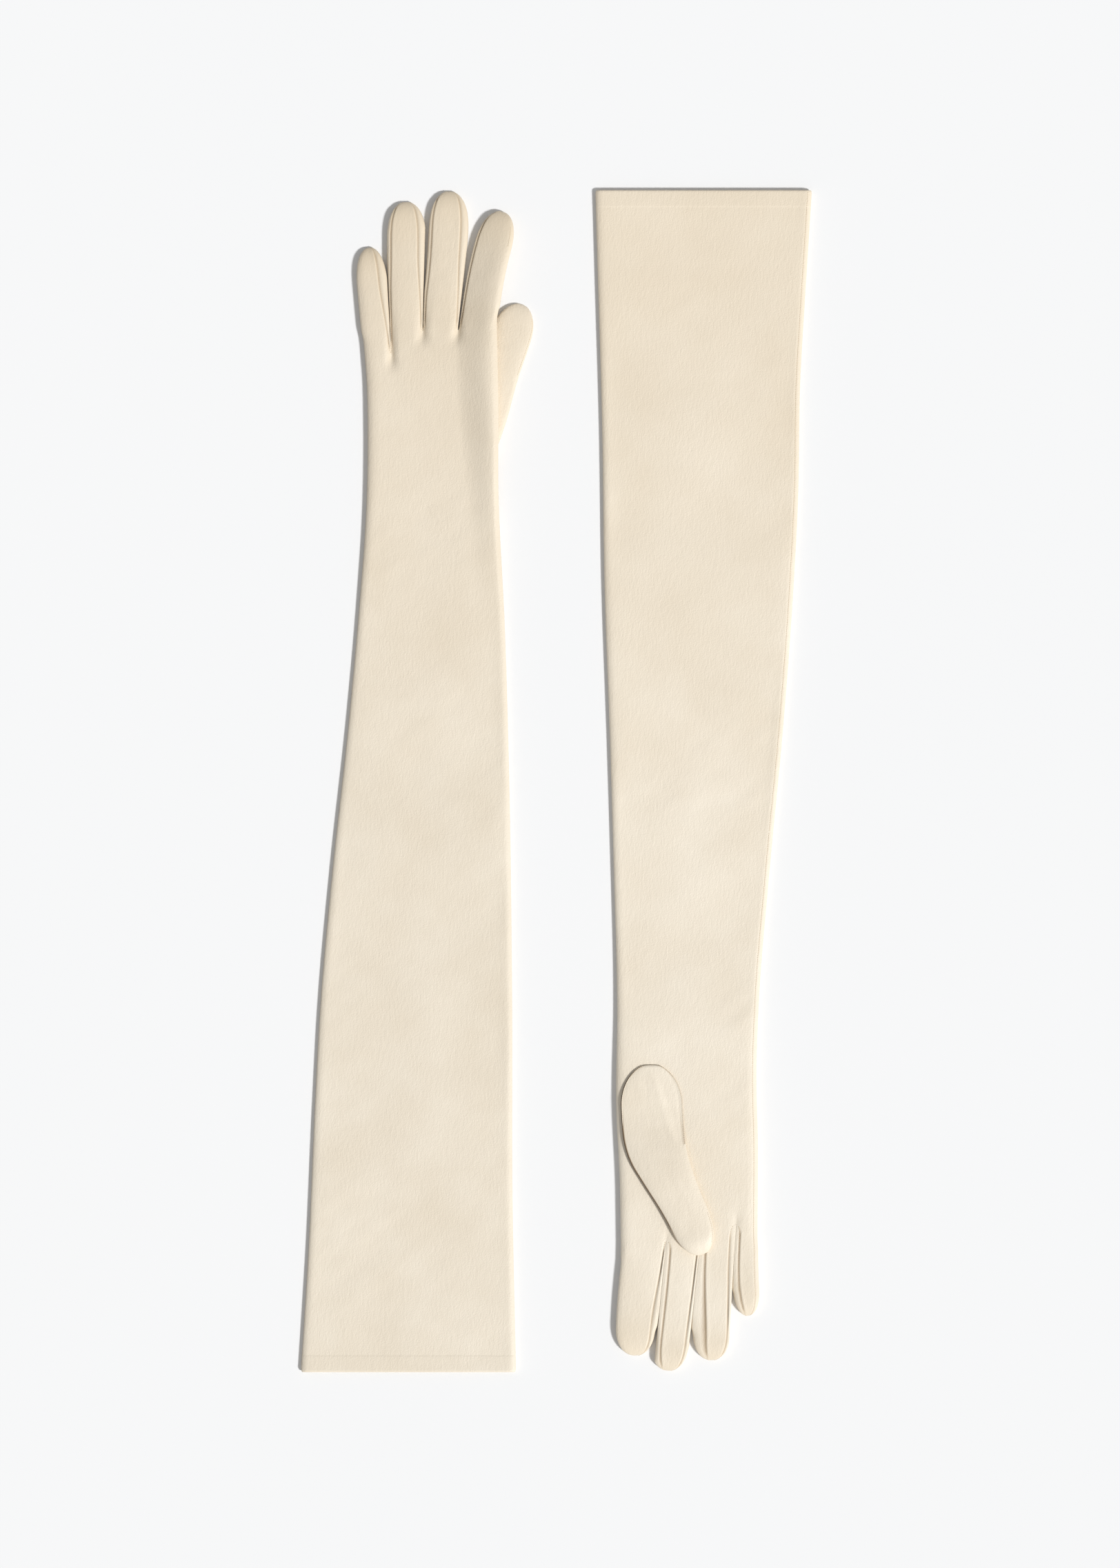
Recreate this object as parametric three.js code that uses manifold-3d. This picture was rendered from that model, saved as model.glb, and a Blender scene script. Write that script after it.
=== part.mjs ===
// A pair of opera gloves in thin leather, lying flat: the left glove with its back up and its fingers
// towards +Y, the right glove with its palm up and its fingers towards -Y. Millimetres, +Z up.
//
// Each glove is drawn in a frame of its own: u runs across it, towards the thumb side, and v runs along it
// from the hem. The right glove is the left one turned half round, with its thumb on top and not beneath.
import * as THREE from "three";
import { mergeVertices } from "three/addons/utils/BufferGeometryUtils.js";
import Module from "manifold-3d";

const wasm = await Module();
wasm.setup();

// Driving dimensions: leather and clearances
const LEATHER = 0.7;
const SEAM_GAP = 0.3; // between two pieces that are sewn or folded against each other
const THUMB_GAP = 0.5; // between the thumb and the side of the hand that it lies on
const FINGER_GAP = 0.6; // the least between two fingers that lie side by side

// Driving dimensions: the tube of the arm and hand, laid flat
const HEM_WIDTH = 124.5;
const ELBOW_WIDTH = 107.6;
const WRIST_WIDTH = 76;
const PALM_EASE = 1; // how far the palm's side stands out past the little finger's root
const ELBOW_AT = 240;
const CROTCH_AT = 602; // hem to the crotches beside the middle finger
const LITTLE_CROTCH_AT = CROTCH_AT - 12;
const WRIST_AT = CROTCH_AT - 92;
const FOLD_EDGE_LEAN = 12; // how far the thumb-side edge leans in between the hem and the wrist
const LAY_HEIGHT = 9; // the flattened tube, with its air
const EDGE_ROUND = 7; // how far the rounded side of the tube reaches in
const HEM_DEPTH = 9.7;

// Driving dimensions: where the leather folds
const WRIST_FOLD_AT = WRIST_AT - 25;
const FINGER_FOLD_PAST_CROTCH = 15;
const LITTLE_FOLD_PAST_CROTCH = 12;

// Driving dimensions: fingers. Length runs from the finger's own crotch to its tip.
const FINGER_HEIGHT = 8.8;
const STRIP_WIDTH = 14.3; // the finger's own leather, from seam to seam
const FOURCHETTE_STOPS = 11; // short of the fingertip
const FINGERS = [
  { name: "index", length: 69, root: 19.6, belly: 20.4, neighbours: [-1] },
  { name: "middle", length: 79, root: 18.2, belly: 20, neighbours: [1, -1] },
  { name: "ring", length: 73, root: 17.2, belly: 19.8, neighbours: [1, -1] },
  { name: "little", length: 59.5, root: 15.2, belly: 16.4, neighbours: [1] },
];

// Driving dimensions: the set-in thumb
const THUMB_LENGTH = 87; // from the middle of its oval to its tip
const THUMB_FOOT = 25; // from the middle of its oval back to its lower end
const THUMB_HALF_WIDTH = 18; // at the middle of its oval
const THUMB_TIP_HALF_WIDTH = 11.5; // where its round tip begins
const THUMB_SEAM = 3.5; // from the edge of the thumb's foot in to the hole in the palm
const THUMB_HEIGHT = 7;
const THUMB_ACROSS = -31; // middle of the oval, from the thumb-side corner of the hem
const THUMB_AT = CROTCH_AT - 73.5;

// Driving dimensions: the pair
const PAIR_SPACING = 46; // between the thumb-side corners of the two hems
// How each glove lies: inset is from the thumb-side edge to the index finger's root, spread is the air
// between the fingers past FINGER_GAP, and each lean is in degrees towards the thumb side.
const LAY = {
  left: {
    thumbBelow: true,
    inset: 0.8,
    spread: 0.8,
    leans: { thumb: 22.5, index: 12.3, middle: 3.3, ring: -0.3, little: -4.9 },
  },
  right: {
    thumbBelow: false,
    inset: 5,
    spread: 0,
    leans: { thumb: -18.5, index: 4.2, middle: 4.4, ring: 3.3, little: 0.6 },
  },
};

// Dependent dimensions
const GLOVE_LENGTH = CROTCH_AT + FINGERS[1].length;
const FINGER_FOLD_AT = CROTCH_AT + FINGER_FOLD_PAST_CROTCH;
const LITTLE_FOLD_AT = LITTLE_CROTCH_AT + LITTLE_FOLD_PAST_CROTCH;
const THUMB_LIFT = THUMB_HEIGHT + THUMB_GAP;
const THUMB_TURN_RADIUS = THUMB_FOOT + 2.5; // the round line between the thumb's foot and the thumb
const BELLY_SHARE = 0.45; // of a finger's length, where it grows to its full width

// How finely the shapes are stepped
const CAP_STEPS = 6;
const ARM_STEP = 60;
const HAND_STEP = 8;
const HAND_FLATS = 7;
const TIP_ANGLES = [0, 35, 60, 78].map(THREE.MathUtils.degToRad);

const radians = THREE.MathUtils.degToRad;
const smooth = THREE.MathUtils.smoothstep;
const mix = THREE.MathUtils.lerp;

// ---- solids ------------------------------------------------------------------------------------

// A closed geometry as a solid that can be joined and cut.
function solid(geometry) {
  geometry.deleteAttribute("normal");
  geometry.deleteAttribute("uv");
  const merged = mergeVertices(geometry, 1e-4);
  return new wasm.Manifold(
    new wasm.Mesh({
      numProp: 3,
      vertProperties: merged.attributes.position.array,
      triVerts: new Uint32Array(merged.index.array),
    }),
  );
}

// A solid as a geometry again.
function geometryOf(body) {
  const mesh = body.getMesh();
  const geometry = new THREE.BufferGeometry();
  geometry.setAttribute("position", new THREE.BufferAttribute(mesh.vertProperties, 3));
  geometry.setIndex(new THREE.BufferAttribute(mesh.triVerts, 1));
  geometry.computeVertexNormals();
  return geometry;
}

// A block between two corners, in glove coordinates.
function block(low, high) {
  const size = new THREE.Vector3().subVectors(high, low);
  const middle = new THREE.Vector3().addVectors(low, high).multiplyScalar(0.5);
  const geometry = new THREE.BoxGeometry(size.x, size.y, size.z);
  return solid(geometry.translate(middle.x, middle.y, middle.z));
}

// An upright oval cylinder between two heights.
function ovalPlug(u, v, lean, across, along, low, high) {
  const geometry = new THREE.CylinderGeometry(1, 1, high - low, 48);
  geometry.rotateX(Math.PI / 2).scale(across, along, 1).rotateZ(-radians(lean));
  return solid(geometry.translate(u, v, (low + high) / 2));
}

// ---- flattened tubes ---------------------------------------------------------------------------

// A skin through a list of rings of points, closed at each end by a fan round its middle.
function loft(rings) {
  const count = rings[0].length;
  const middle = (ring) => ring.reduce((sum, p) => sum.add(p), new THREE.Vector3()).divideScalar(count);
  const points = [...rings.flat(), middle(rings[0]), middle(rings[rings.length - 1])];
  const last = (rings.length - 1) * count;
  const [startMiddle, endMiddle] = [points.length - 2, points.length - 1];
  const triangles = [];
  for (let j = 0; j < count; j++) {
    const k = (j + 1) % count;
    for (let row = 0; row < last; row += count) {
      triangles.push(row + j, row + k, row + count + j, row + k, row + count + k, row + count + j);
    }
    triangles.push(startMiddle, k, j, endMiddle, last + j, last + k);
  }
  return new THREE.BufferGeometry().setFromPoints(points).setIndex(triangles);
}

// One ring of a flattened tube. wall shrinks it to the tube's inside; lift raises it point by point.
function ring(station, wall, flats, lift) {
  const { u, v, lean, half, low, high } = station;
  const width = Math.max(half - wall, 0.4);
  const height = Math.max((high - low) / 2 - wall, 0.3);
  const edge = Math.min(EDGE_ROUND, width * 0.9);
  const flat = width - edge;
  const across = new THREE.Vector2(Math.cos(radians(lean)), -Math.sin(radians(lean)));
  const outline = [];
  for (const side of [1, -1]) {
    for (let i = 0; i <= CAP_STEPS; i++) {
      const angle = side * (i / CAP_STEPS - 0.5) * Math.PI;
      outline.push([side * (flat + edge * Math.cos(angle)), height * Math.sin(angle)]);
    }
    for (let i = 1; i < flats; i++) {
      outline.push([side * flat * (1 - (2 * i) / flats), side * height]);
    }
  }
  return outline.reverse().map(([s, z]) => {
    const x = u + s * across.x;
    const y = v + s * across.y;
    return new THREE.Vector3(x, y, (low + high) / 2 + z + lift(x, y));
  });
}

// A solid through a list of stations, closed at both ends.
function tube(stations, wall, flats, lift) {
  return solid(loft(stations.map((station) => ring(station, wall, flats, lift))));
}

// The same stations with the ends moved out, so that the inside runs clear through an open end.
function throughEnds(stations, start, end) {
  const longer = stations.map((station) => ({ ...station }));
  longer[0].v -= start;
  longer[longer.length - 1].v += end;
  return longer;
}

const noLift = () => 0;

// How far the hand is raised, where it lies on its own thumb.
function handLift(u, v) {
  const side = smooth(u, THUMB_ACROSS - 42, THUMB_ACROSS - 21);
  const heel = smooth(v, WRIST_FOLD_AT + 2, THUMB_AT - 8);
  const tips = 1 - smooth(v, FINGER_FOLD_AT + 6, FINGER_FOLD_AT + 42);
  return THUMB_LIFT * side * heel * tips;
}

// ---- arm and hand ------------------------------------------------------------------------------

// The flattened width of the arm tube at a distance from the hem.
function widthAt(v, lay) {
  if (v < ELBOW_AT) return mix(HEM_WIDTH, ELBOW_WIDTH, v / ELBOW_AT);
  if (v < WRIST_AT) return mix(ELBOW_WIDTH, WRIST_WIDTH, (v - ELBOW_AT) / (WRIST_AT - ELBOW_AT));
  const palmWidth = foldEdgeAt(v) - littleSideOf(FINGERS.at(-1), lay) + PALM_EASE;
  return mix(WRIST_WIDTH, palmWidth, (v - WRIST_AT) / (CROTCH_AT - WRIST_AT));
}

// Where the thumb-side edge lies at a distance from the hem.
function foldEdgeAt(v) {
  return -FOLD_EDGE_LEAN * Math.min(v / WRIST_AT, 1);
}

function armStation(v, lay) {
  const half = widthAt(v, lay) / 2;
  return { u: foldEdgeAt(v) - half, v, lean: 0, half, low: 0, high: LAY_HEIGHT };
}

function armStations(from, to, step, lay) {
  const count = Math.max(1, Math.round((to - from) / step));
  return Array.from({ length: count + 1 }, (_, i) => armStation(mix(from, to, i / count), lay));
}

// An open tube of leather between two distances from the hem.
function armTube(from, to, lay) {
  const stations = armStations(from, to, ARM_STEP, lay);
  const inside = tube(throughEnds(stations, 1, 1), LEATHER, 1, noLift);
  return tube(stations, 0, 1, noLift).subtract(inside);
}

// The leather turned in at the hem: a second layer inside the first.
function hemFacing(lay) {
  const outer = LEATHER + SEAM_GAP;
  const stations = armStations(SEAM_GAP, HEM_DEPTH, HEM_DEPTH, lay);
  const inside = tube(throughEnds(stations, 1, 1), outer + LEATHER, 1, noLift);
  return tube(stations, outer, 1, noLift).subtract(inside);
}

// The whole hand before it is cut at its folds: the outer shape, or with a wall the inner one.
function handBlock(lay, wall, lift) {
  const stations = armStations(WRIST_FOLD_AT + SEAM_GAP / 2, CROTCH_AT, HAND_STEP, lay);
  const ends = throughEnds(stations, wall ? 1 : 0, wall ? -LEATHER : 0);
  const side = littleDivide(lay);
  const corner = block(
    new THREE.Vector3(side - HEM_WIDTH, LITTLE_CROTCH_AT - wall, -1),
    new THREE.Vector3(side + wall, CROTCH_AT + 1, 30),
  );
  const palm = tube(ends, wall, HAND_FLATS, lift).subtract(corner);
  const root = (finger) => fingerBlock(finger, lay, wall, lift).subtract(pastFold(finger, wall));
  return FINGERS.reduce((joined, finger) => joined.add(root(finger)), palm);
}

// The hand: palm, back and the short finger roots up to the folds.
function hand(lay, lift) {
  const reach = lay.thumbBelow ? [-1, THUMB_LIFT + LAY_HEIGHT / 2] : [LAY_HEIGHT / 2, LAY_HEIGHT + 1];
  const inside = handBlock(lay, LEATHER, lift);
  return handBlock(lay, 0, lift).subtract(inside).subtract(thumbHole(lay, ...reach));
}

// ---- fingers -----------------------------------------------------------------------------------

function crotchOf(finger) {
  return finger.name === "little" ? LITTLE_CROTCH_AT : CROTCH_AT;
}

function foldOf(finger) {
  return finger.name === "little" ? LITTLE_FOLD_AT : FINGER_FOLD_AT;
}

// How far apart the roots of two neighbours lie: clear at the roots, and clear where both are widest.
function rootSpacing(finger, next, lay) {
  const slope = (one) => Math.tan(radians(lay.leans[one.name]));
  const opening = BELLY_SHARE * next.length * (slope(finger) - slope(next));
  const atBelly = (finger.belly + next.belly) / 2 - opening;
  return Math.max((finger.root + next.root) / 2, atBelly) + FINGER_GAP + lay.spread;
}

// Where the middle of a finger's root lies across the glove.
function rootOf(finger, lay) {
  const place = FINGERS.indexOf(finger);
  if (place === 0) return -FOLD_EDGE_LEAN - lay.inset - finger.root / 2;
  const before = FINGERS[place - 1];
  return rootOf(before, lay) - rootSpacing(before, finger, lay);
}

function littleSideOf(finger, lay) {
  return rootOf(finger, lay) - finger.root / 2;
}

// The line along the glove between the ring finger and the little finger.
function littleDivide(lay) {
  const [ring, little] = FINGERS.slice(2);
  return (littleSideOf(ring, lay) + rootOf(little, lay) + little.root / 2) / 2;
}

// Everything past a finger's fold, or with a wall a little further on, to leave its root open.
function pastFold(finger, wall) {
  const from = foldOf(finger) - SEAM_GAP / 2 + wall;
  return block(new THREE.Vector3(-HEM_WIDTH, from, -1), new THREE.Vector3(HEM_WIDTH, GLOVE_LENGTH + 10, 40));
}

// The stations of one finger, from inside the palm to its rounded tip.
function fingerStations(finger, lay) {
  const lean = lay.leans[finger.name];
  const tipRound = finger.belly / 2;
  const root = rootOf(finger, lay);
  const place = (t) => ({
    u: root + t * Math.sin(radians(lean)),
    v: crotchOf(finger) + t * Math.cos(radians(lean)),
    lean,
  });
  const whole = (t, width, inset) => ({
    ...place(t),
    half: width / 2,
    low: inset,
    high: FINGER_HEIGHT - inset,
  });
  const bellyAt = finger.length * BELLY_SHARE;
  const straight = [
    whole(-24, finger.root, 1),
    whole(-8, finger.root, 1),
    whole(4, finger.root, 0),
    whole(finger.length * 0.2, mix(finger.root, finger.belly, 0.4), 0),
    whole(bellyAt, finger.belly, 0),
    whole((bellyAt + finger.length - tipRound) / 2, finger.belly, 0),
  ];
  const tip = TIP_ANGLES.map((angle) => ({
    ...place(finger.length - tipRound * (1 - Math.sin(angle))),
    half: (finger.belly / 2) * Math.cos(angle) ** 0.9,
    low: (FINGER_HEIGHT / 2) * (1 - Math.cos(angle) ** 0.6),
    high: (FINGER_HEIGHT / 2) * (1 + Math.cos(angle) ** 0.6),
  }));
  return [...straight, ...tip];
}

// A finger's outer shape, or with a wall its inner one, stopped short of the tip.
function fingerBlock(finger, lay, wall, lift) {
  const stations = fingerStations(finger, lay);
  const last = stations[stations.length - 1];
  last.u -= wall * Math.sin(radians(last.lean));
  last.v -= wall * Math.cos(radians(last.lean));
  return tube(stations, wall, 2, lift);
}

// The side of a finger that its fourchette covers, from its fold to near its tip.
function fourchetteBlock(finger, lay, side, grow) {
  const lean = radians(lay.leans[finger.name]);
  const reach = finger.length - FOURCHETTE_STOPS;
  const start = -20;
  const width = finger.belly;
  const geometry = new THREE.BoxGeometry(width, reach - start + grow, 40);
  geometry.translate(side * (STRIP_WIDTH / 2 + width / 2 - grow), (reach + start + grow) / 2, 10);
  geometry.rotateZ(-lean);
  return solid(geometry.translate(rootOf(finger, lay), crotchOf(finger), 0));
}

// One finger past its fold: its own leather, and a fourchette on each side that has a neighbour.
function fingerPieces(finger, lay, lift) {
  const fold = foldOf(finger) + SEAM_GAP / 2;
  const palmOff = block(new THREE.Vector3(-HEM_WIDTH, 0, -1), new THREE.Vector3(HEM_WIDTH, fold, 40));
  const shell = fingerBlock(finger, lay, 0, lift)
    .subtract(fingerBlock(finger, lay, LEATHER, lift))
    .subtract(palmOff);
  const pieces = {};
  let strip = shell;
  for (const side of finger.neighbours) {
    const name = `${finger.name}_fourchette_${side > 0 ? "thumb_side" : "little_side"}`;
    pieces[name] = shell.intersect(fourchetteBlock(finger, lay, side, 0));
    strip = strip.subtract(fourchetteBlock(finger, lay, side, SEAM_GAP));
  }
  pieces[`${finger.name}_finger`] = strip;
  return pieces;
}

// ---- thumb -------------------------------------------------------------------------------------

// Half width and height of the thumb at a distance from the middle of its oval.
function thumbShape(t) {
  if (t < 0) {
    const back = Math.sqrt(Math.max(0, 1 - (t / THUMB_FOOT) ** 2));
    return { half: THUMB_HALF_WIDTH * back, height: THUMB_HEIGHT * back ** 0.8 };
  }
  const tipFrom = THUMB_LENGTH - THUMB_TIP_HALF_WIDTH * 1.3;
  const tip = Math.max(0, (t - tipFrom) / (THUMB_LENGTH - tipFrom));
  const round = Math.sqrt(Math.max(0, 1 - tip * tip));
  const taper = mix(THUMB_HALF_WIDTH, THUMB_TIP_HALF_WIDTH, smooth(t, 5, tipFrom));
  return { half: taper * round, height: THUMB_HEIGHT * round ** 0.6 };
}

// The thumb as a flat pouch: its outer shape, or with a wall its inner one.
function thumbBlock(lay, wall) {
  const lean = lay.leans.thumb;
  const floor = lay.thumbBelow ? 0 : LAY_HEIGHT + THUMB_GAP;
  const along = [-0.97, -0.85, -0.6, -0.25].map((share) => share * (THUMB_FOOT - wall));
  const onward = [0.05, 0.2, 0.35, 0.5, 0.65, 0.8, 0.88, 0.94, 0.985];
  along.push(...onward.map((share) => share * (THUMB_LENGTH - wall)));
  const stations = along.map((t) => {
    const { half, height } = thumbShape(t);
    return {
      u: THUMB_ACROSS + t * Math.sin(radians(lean)),
      v: THUMB_AT + t * Math.cos(radians(lean)),
      lean,
      half,
      low: floor,
      high: floor + height,
    };
  });
  return tube(stations, wall, 2, noLift);
}

// The hole that joins the thumb to the palm, between two heights.
function thumbHole(lay, low, high) {
  const across = THUMB_HALF_WIDTH - THUMB_SEAM;
  const along = THUMB_FOOT - THUMB_SEAM;
  return ovalPlug(THUMB_ACROSS, THUMB_AT, lay.leans.thumb, across, along, low, high);
}

// The thumb's foot, sewn to the hand, and the thumb that swings round the middle of its oval.
function thumbPieces(lay) {
  const floor = lay.thumbBelow ? 0 : LAY_HEIGHT + THUMB_GAP;
  const middle = floor + THUMB_HEIGHT / 2;
  const reach = lay.thumbBelow ? [middle, middle + THUMB_HEIGHT] : [middle - THUMB_HEIGHT, middle];
  const shell = thumbBlock(lay, 0)
    .subtract(thumbBlock(lay, LEATHER))
    .subtract(thumbHole(lay, ...reach));
  const turn = (radius) => ovalPlug(THUMB_ACROSS, THUMB_AT, 0, radius, radius, -1, 40);
  return {
    thumb_foot: shell.intersect(turn(THUMB_TURN_RADIUS - SEAM_GAP / 2)),
    thumb: shell.subtract(turn(THUMB_TURN_RADIUS + SEAM_GAP / 2)),
  };
}

// ---- the pair ----------------------------------------------------------------------------------

// Every piece of one glove, in glove coordinates.
function glovePieces(lay) {
  const lift = lay.thumbBelow ? handLift : noLift;
  const half = SEAM_GAP / 2;
  const pieces = {
    sleeve: armTube(0, ELBOW_AT - half, lay),
    hem_facing: hemFacing(lay),
    forearm: armTube(ELBOW_AT + half, WRIST_FOLD_AT - half, lay),
    hand: hand(lay, lift),
    ...thumbPieces(lay),
  };
  return FINGERS.reduce((all, finger) => ({ ...all, ...fingerPieces(finger, lay, lift) }), pieces);
}

// Smooth ivory leather, a little cooler on the left glove than on the right one.
function leather(side) {
  const color = side === "left" ? 0xebdecb : 0xf1e6d5;
  return new THREE.MeshStandardMaterial({ color, roughness: 0.55, metalness: 0 });
}

function glove(side) {
  const group = new THREE.Group();
  for (const [name, body] of Object.entries(glovePieces(LAY[side]))) {
    const mesh = new THREE.Mesh(geometryOf(body), leather(side));
    mesh.name = `${side}_${name}`;
    group.add(mesh);
  }
  return group;
}

const left = glove("left");
left.position.set(-PAIR_SPACING / 2, -GLOVE_LENGTH / 2, 0);

const right = glove("right");
right.position.set(PAIR_SPACING / 2, GLOVE_LENGTH / 2, 0);
right.rotation.z = Math.PI;

const pair = new THREE.Group();
pair.add(left, right);

export default pair;
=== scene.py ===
"""A pair of long ivory leather opera gloves, lying flat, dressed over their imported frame.

Sizes are in millimetres in a glove's own coordinates: `across` grows towards the thumb side from the
thumb-side corner of the hem, `along` grows from the hem to the fingertips, and `up` is height.
"""

import logging
import math
from dataclasses import dataclass, field
from enum import Enum
from typing import Any, Sequence

import bpy
import numpy as np
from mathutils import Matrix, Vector


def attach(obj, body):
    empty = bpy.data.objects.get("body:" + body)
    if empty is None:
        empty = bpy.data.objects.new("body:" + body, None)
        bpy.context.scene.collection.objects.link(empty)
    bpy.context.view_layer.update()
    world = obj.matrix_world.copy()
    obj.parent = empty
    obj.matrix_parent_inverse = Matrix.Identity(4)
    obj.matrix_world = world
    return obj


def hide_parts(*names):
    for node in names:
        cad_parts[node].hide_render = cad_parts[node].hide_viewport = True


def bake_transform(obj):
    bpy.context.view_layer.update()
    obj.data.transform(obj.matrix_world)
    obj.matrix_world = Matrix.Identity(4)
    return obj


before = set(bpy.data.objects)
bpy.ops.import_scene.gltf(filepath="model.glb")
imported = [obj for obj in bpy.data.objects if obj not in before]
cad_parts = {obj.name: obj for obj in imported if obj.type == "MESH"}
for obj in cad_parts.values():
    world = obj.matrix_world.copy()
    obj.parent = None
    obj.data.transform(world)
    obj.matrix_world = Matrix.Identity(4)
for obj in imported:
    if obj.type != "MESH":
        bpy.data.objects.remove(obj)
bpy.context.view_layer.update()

LOG = logging.getLogger("opera_gloves")
MM = 0.001
Array = np.ndarray


class Side(Enum):
    """Which hand a glove is for."""

    LEFT = "left"
    RIGHT = "right"


class Thumb(Enum):
    """Where a glove's thumb lies."""

    BENEATH = "beneath"
    ON_TOP = "on_top"


# ---- small maths ---------------------------------------------------------------------------------


def smooth(x: Array | float, low: float, high: float) -> Array | float:
    """Eased step.

    Args:
        x: Where to take it.
        low: Where it leaves 0.
        high: Where it reaches 1.

    Returns:
        0 below low, 1 above high, and an even slope between.
    """
    t = np.clip((np.asarray(x, float) - low) / (high - low), 0.0, 1.0)
    return t * t * (3.0 - 2.0 * t)


def mix(a: Any, b: Any, t: Any) -> Any:
    """Straight mix of a and b by t."""
    return a + (b - a) * t


def edge_round(depth: Array, reach: Array, power: float) -> Array:
    """Height share of a rounded edge.

    Args:
        depth: Distance in from the outline.
        reach: Distance over which the edge rounds off.
        power: How square the rounding is.

    Returns:
        0 at the outline, 1 at reach and beyond.
    """
    x = 1.0 - np.clip(depth / reach, 0.0, 1.0)
    return (1.0 - x**power) ** (1.0 / power)


class Noise:
    """Smooth lattice noise in the plane, the same on every run."""

    def __init__(self, seed: int) -> None:
        """Draws the lattice from a seed."""
        self.lattice = np.random.default_rng(seed).uniform(-1.0, 1.0, (256, 256))

    def at(self, x: Array, y: Array, size: float) -> Array:
        """Noise at places in the plane.

        Args:
            x: Places across.
            y: Places along.
            size: Size of the features.

        Returns:
            Values from -1 to 1.
        """
        gx, gy = np.asarray(x) / size, np.asarray(y) / size
        ix, iy = np.floor(gx).astype(int), np.floor(gy).astype(int)
        fx, fy = gx - ix, gy - iy
        fx, fy = fx * fx * (3 - 2 * fx), fy * fy * (3 - 2 * fy)
        grid = lambda i, j: self.lattice[i % 256, j % 256]
        low = mix(grid(ix, iy), grid(ix + 1, iy), fx)
        high = mix(grid(ix, iy + 1), grid(ix + 1, iy + 1), fx)
        return mix(low, high, fy)


@dataclass(frozen=True)
class Outline:
    """A smooth line across against along, through a few points."""

    points: tuple[tuple[float, float], ...]

    def at(self, along: Array | float) -> Array:
        """The value at a distance along, eased through the points.

        Args:
            along: Distances along.

        Returns:
            Values across.
        """
        xs = np.array([p[0] for p in self.points], float)
        ys = np.array([p[1] for p in self.points], float)
        slopes = np.gradient(ys, xs)
        x = np.clip(np.asarray(along, float), xs[0], xs[-1])
        i = np.clip(np.searchsorted(xs, x, side="right") - 1, 0, len(xs) - 2)
        gap = xs[i + 1] - xs[i]
        t = (x - xs[i]) / gap
        t2, t3 = t * t, t * t * t
        return (
            (2 * t3 - 3 * t2 + 1) * ys[i]
            + (t3 - 2 * t2 + t) * gap * slopes[i]
            + (3 * t2 - 2 * t3) * ys[i + 1]
            + (t3 - t2) * gap * slopes[i + 1]
        )


# ---- how the gloves are cut and how they lie ---------------------------------------------------------


@dataclass(frozen=True)
class FingerLay:
    """One finger as it lies.

    Attributes:
        name: The finger's name.
        root_across: Where its middle line leaves the hand.
        length: From the crotch beside it to its tip.
        width: Across its belly.
        lean_root: How it leans at its root, in degrees towards the thumb side.
        lean_tip: How it leans at its tip.
        thumb_seam: How far the seam at its thumb side ends up from its middle line.
        little_seam: The same at its little-finger side.
        thumb_open: How wide the side strip opens at once beside the crotch, at its thumb side.
        little_open: The same at its little-finger side.
    """

    name: str
    root_across: float
    length: float
    width: float
    lean_root: float
    lean_tip: float
    thumb_seam: float | None
    little_seam: float | None
    thumb_open: float = 0.0
    little_open: float = 0.0


@dataclass(frozen=True)
class Crotch:
    """The point between two fingers, and the way their touching line leans from it, in degrees."""

    across: float
    along: float
    lean: float


@dataclass(frozen=True)
class ThumbLay:
    """The thumb's middle line, from the lower end of its oval to its tip, and half widths along it."""

    line: tuple[tuple[float, float], ...]
    half_widths: tuple[float, ...]
    height: float = 4.4
    tip_round: float = 17.0


@dataclass(frozen=True)
class GloveLay:
    """How one glove lies on the table.

    Attributes:
        side: Which hand it is for.
        thumb_place: Where its thumb lies.
        thumb_edge: The hand's and sleeve's edge at the thumb side.
        little_edge: The same at the little-finger side.
        crotches: The points between the fingers, from the index's.
        fingers: The fingers, from the index.
        thumb: The thumb.
        settle: How far along a finger its seams reach their own places.
        tip_reach: Length over which a fingertip narrows.
        shoulder: How square a finger's section is.
        tuck: How high the side strips lie where two fingers touch, as a share of a finger's half height.
        touch_gap: How far a side strip stays off the line where the fingers touch.
        valley: How deep the hand dips before a crotch, as a share of its height.
        fullness: How much wider a finger is where a neighbour lies beside it, as a share.
        seed: Seed of the glove's own waves and creases.
    """

    side: Side
    thumb_place: Thumb
    thumb_edge: Outline
    little_edge: Outline
    crotches: tuple[Crotch, Crotch, Crotch]
    fingers: tuple[FingerLay, FingerLay, FingerLay, FingerLay]
    thumb: ThumbLay
    settle: float
    tip_reach: float
    shoulder: float
    tuck: float
    touch_gap: float
    valley: float
    fullness: float
    seed: int


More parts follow.
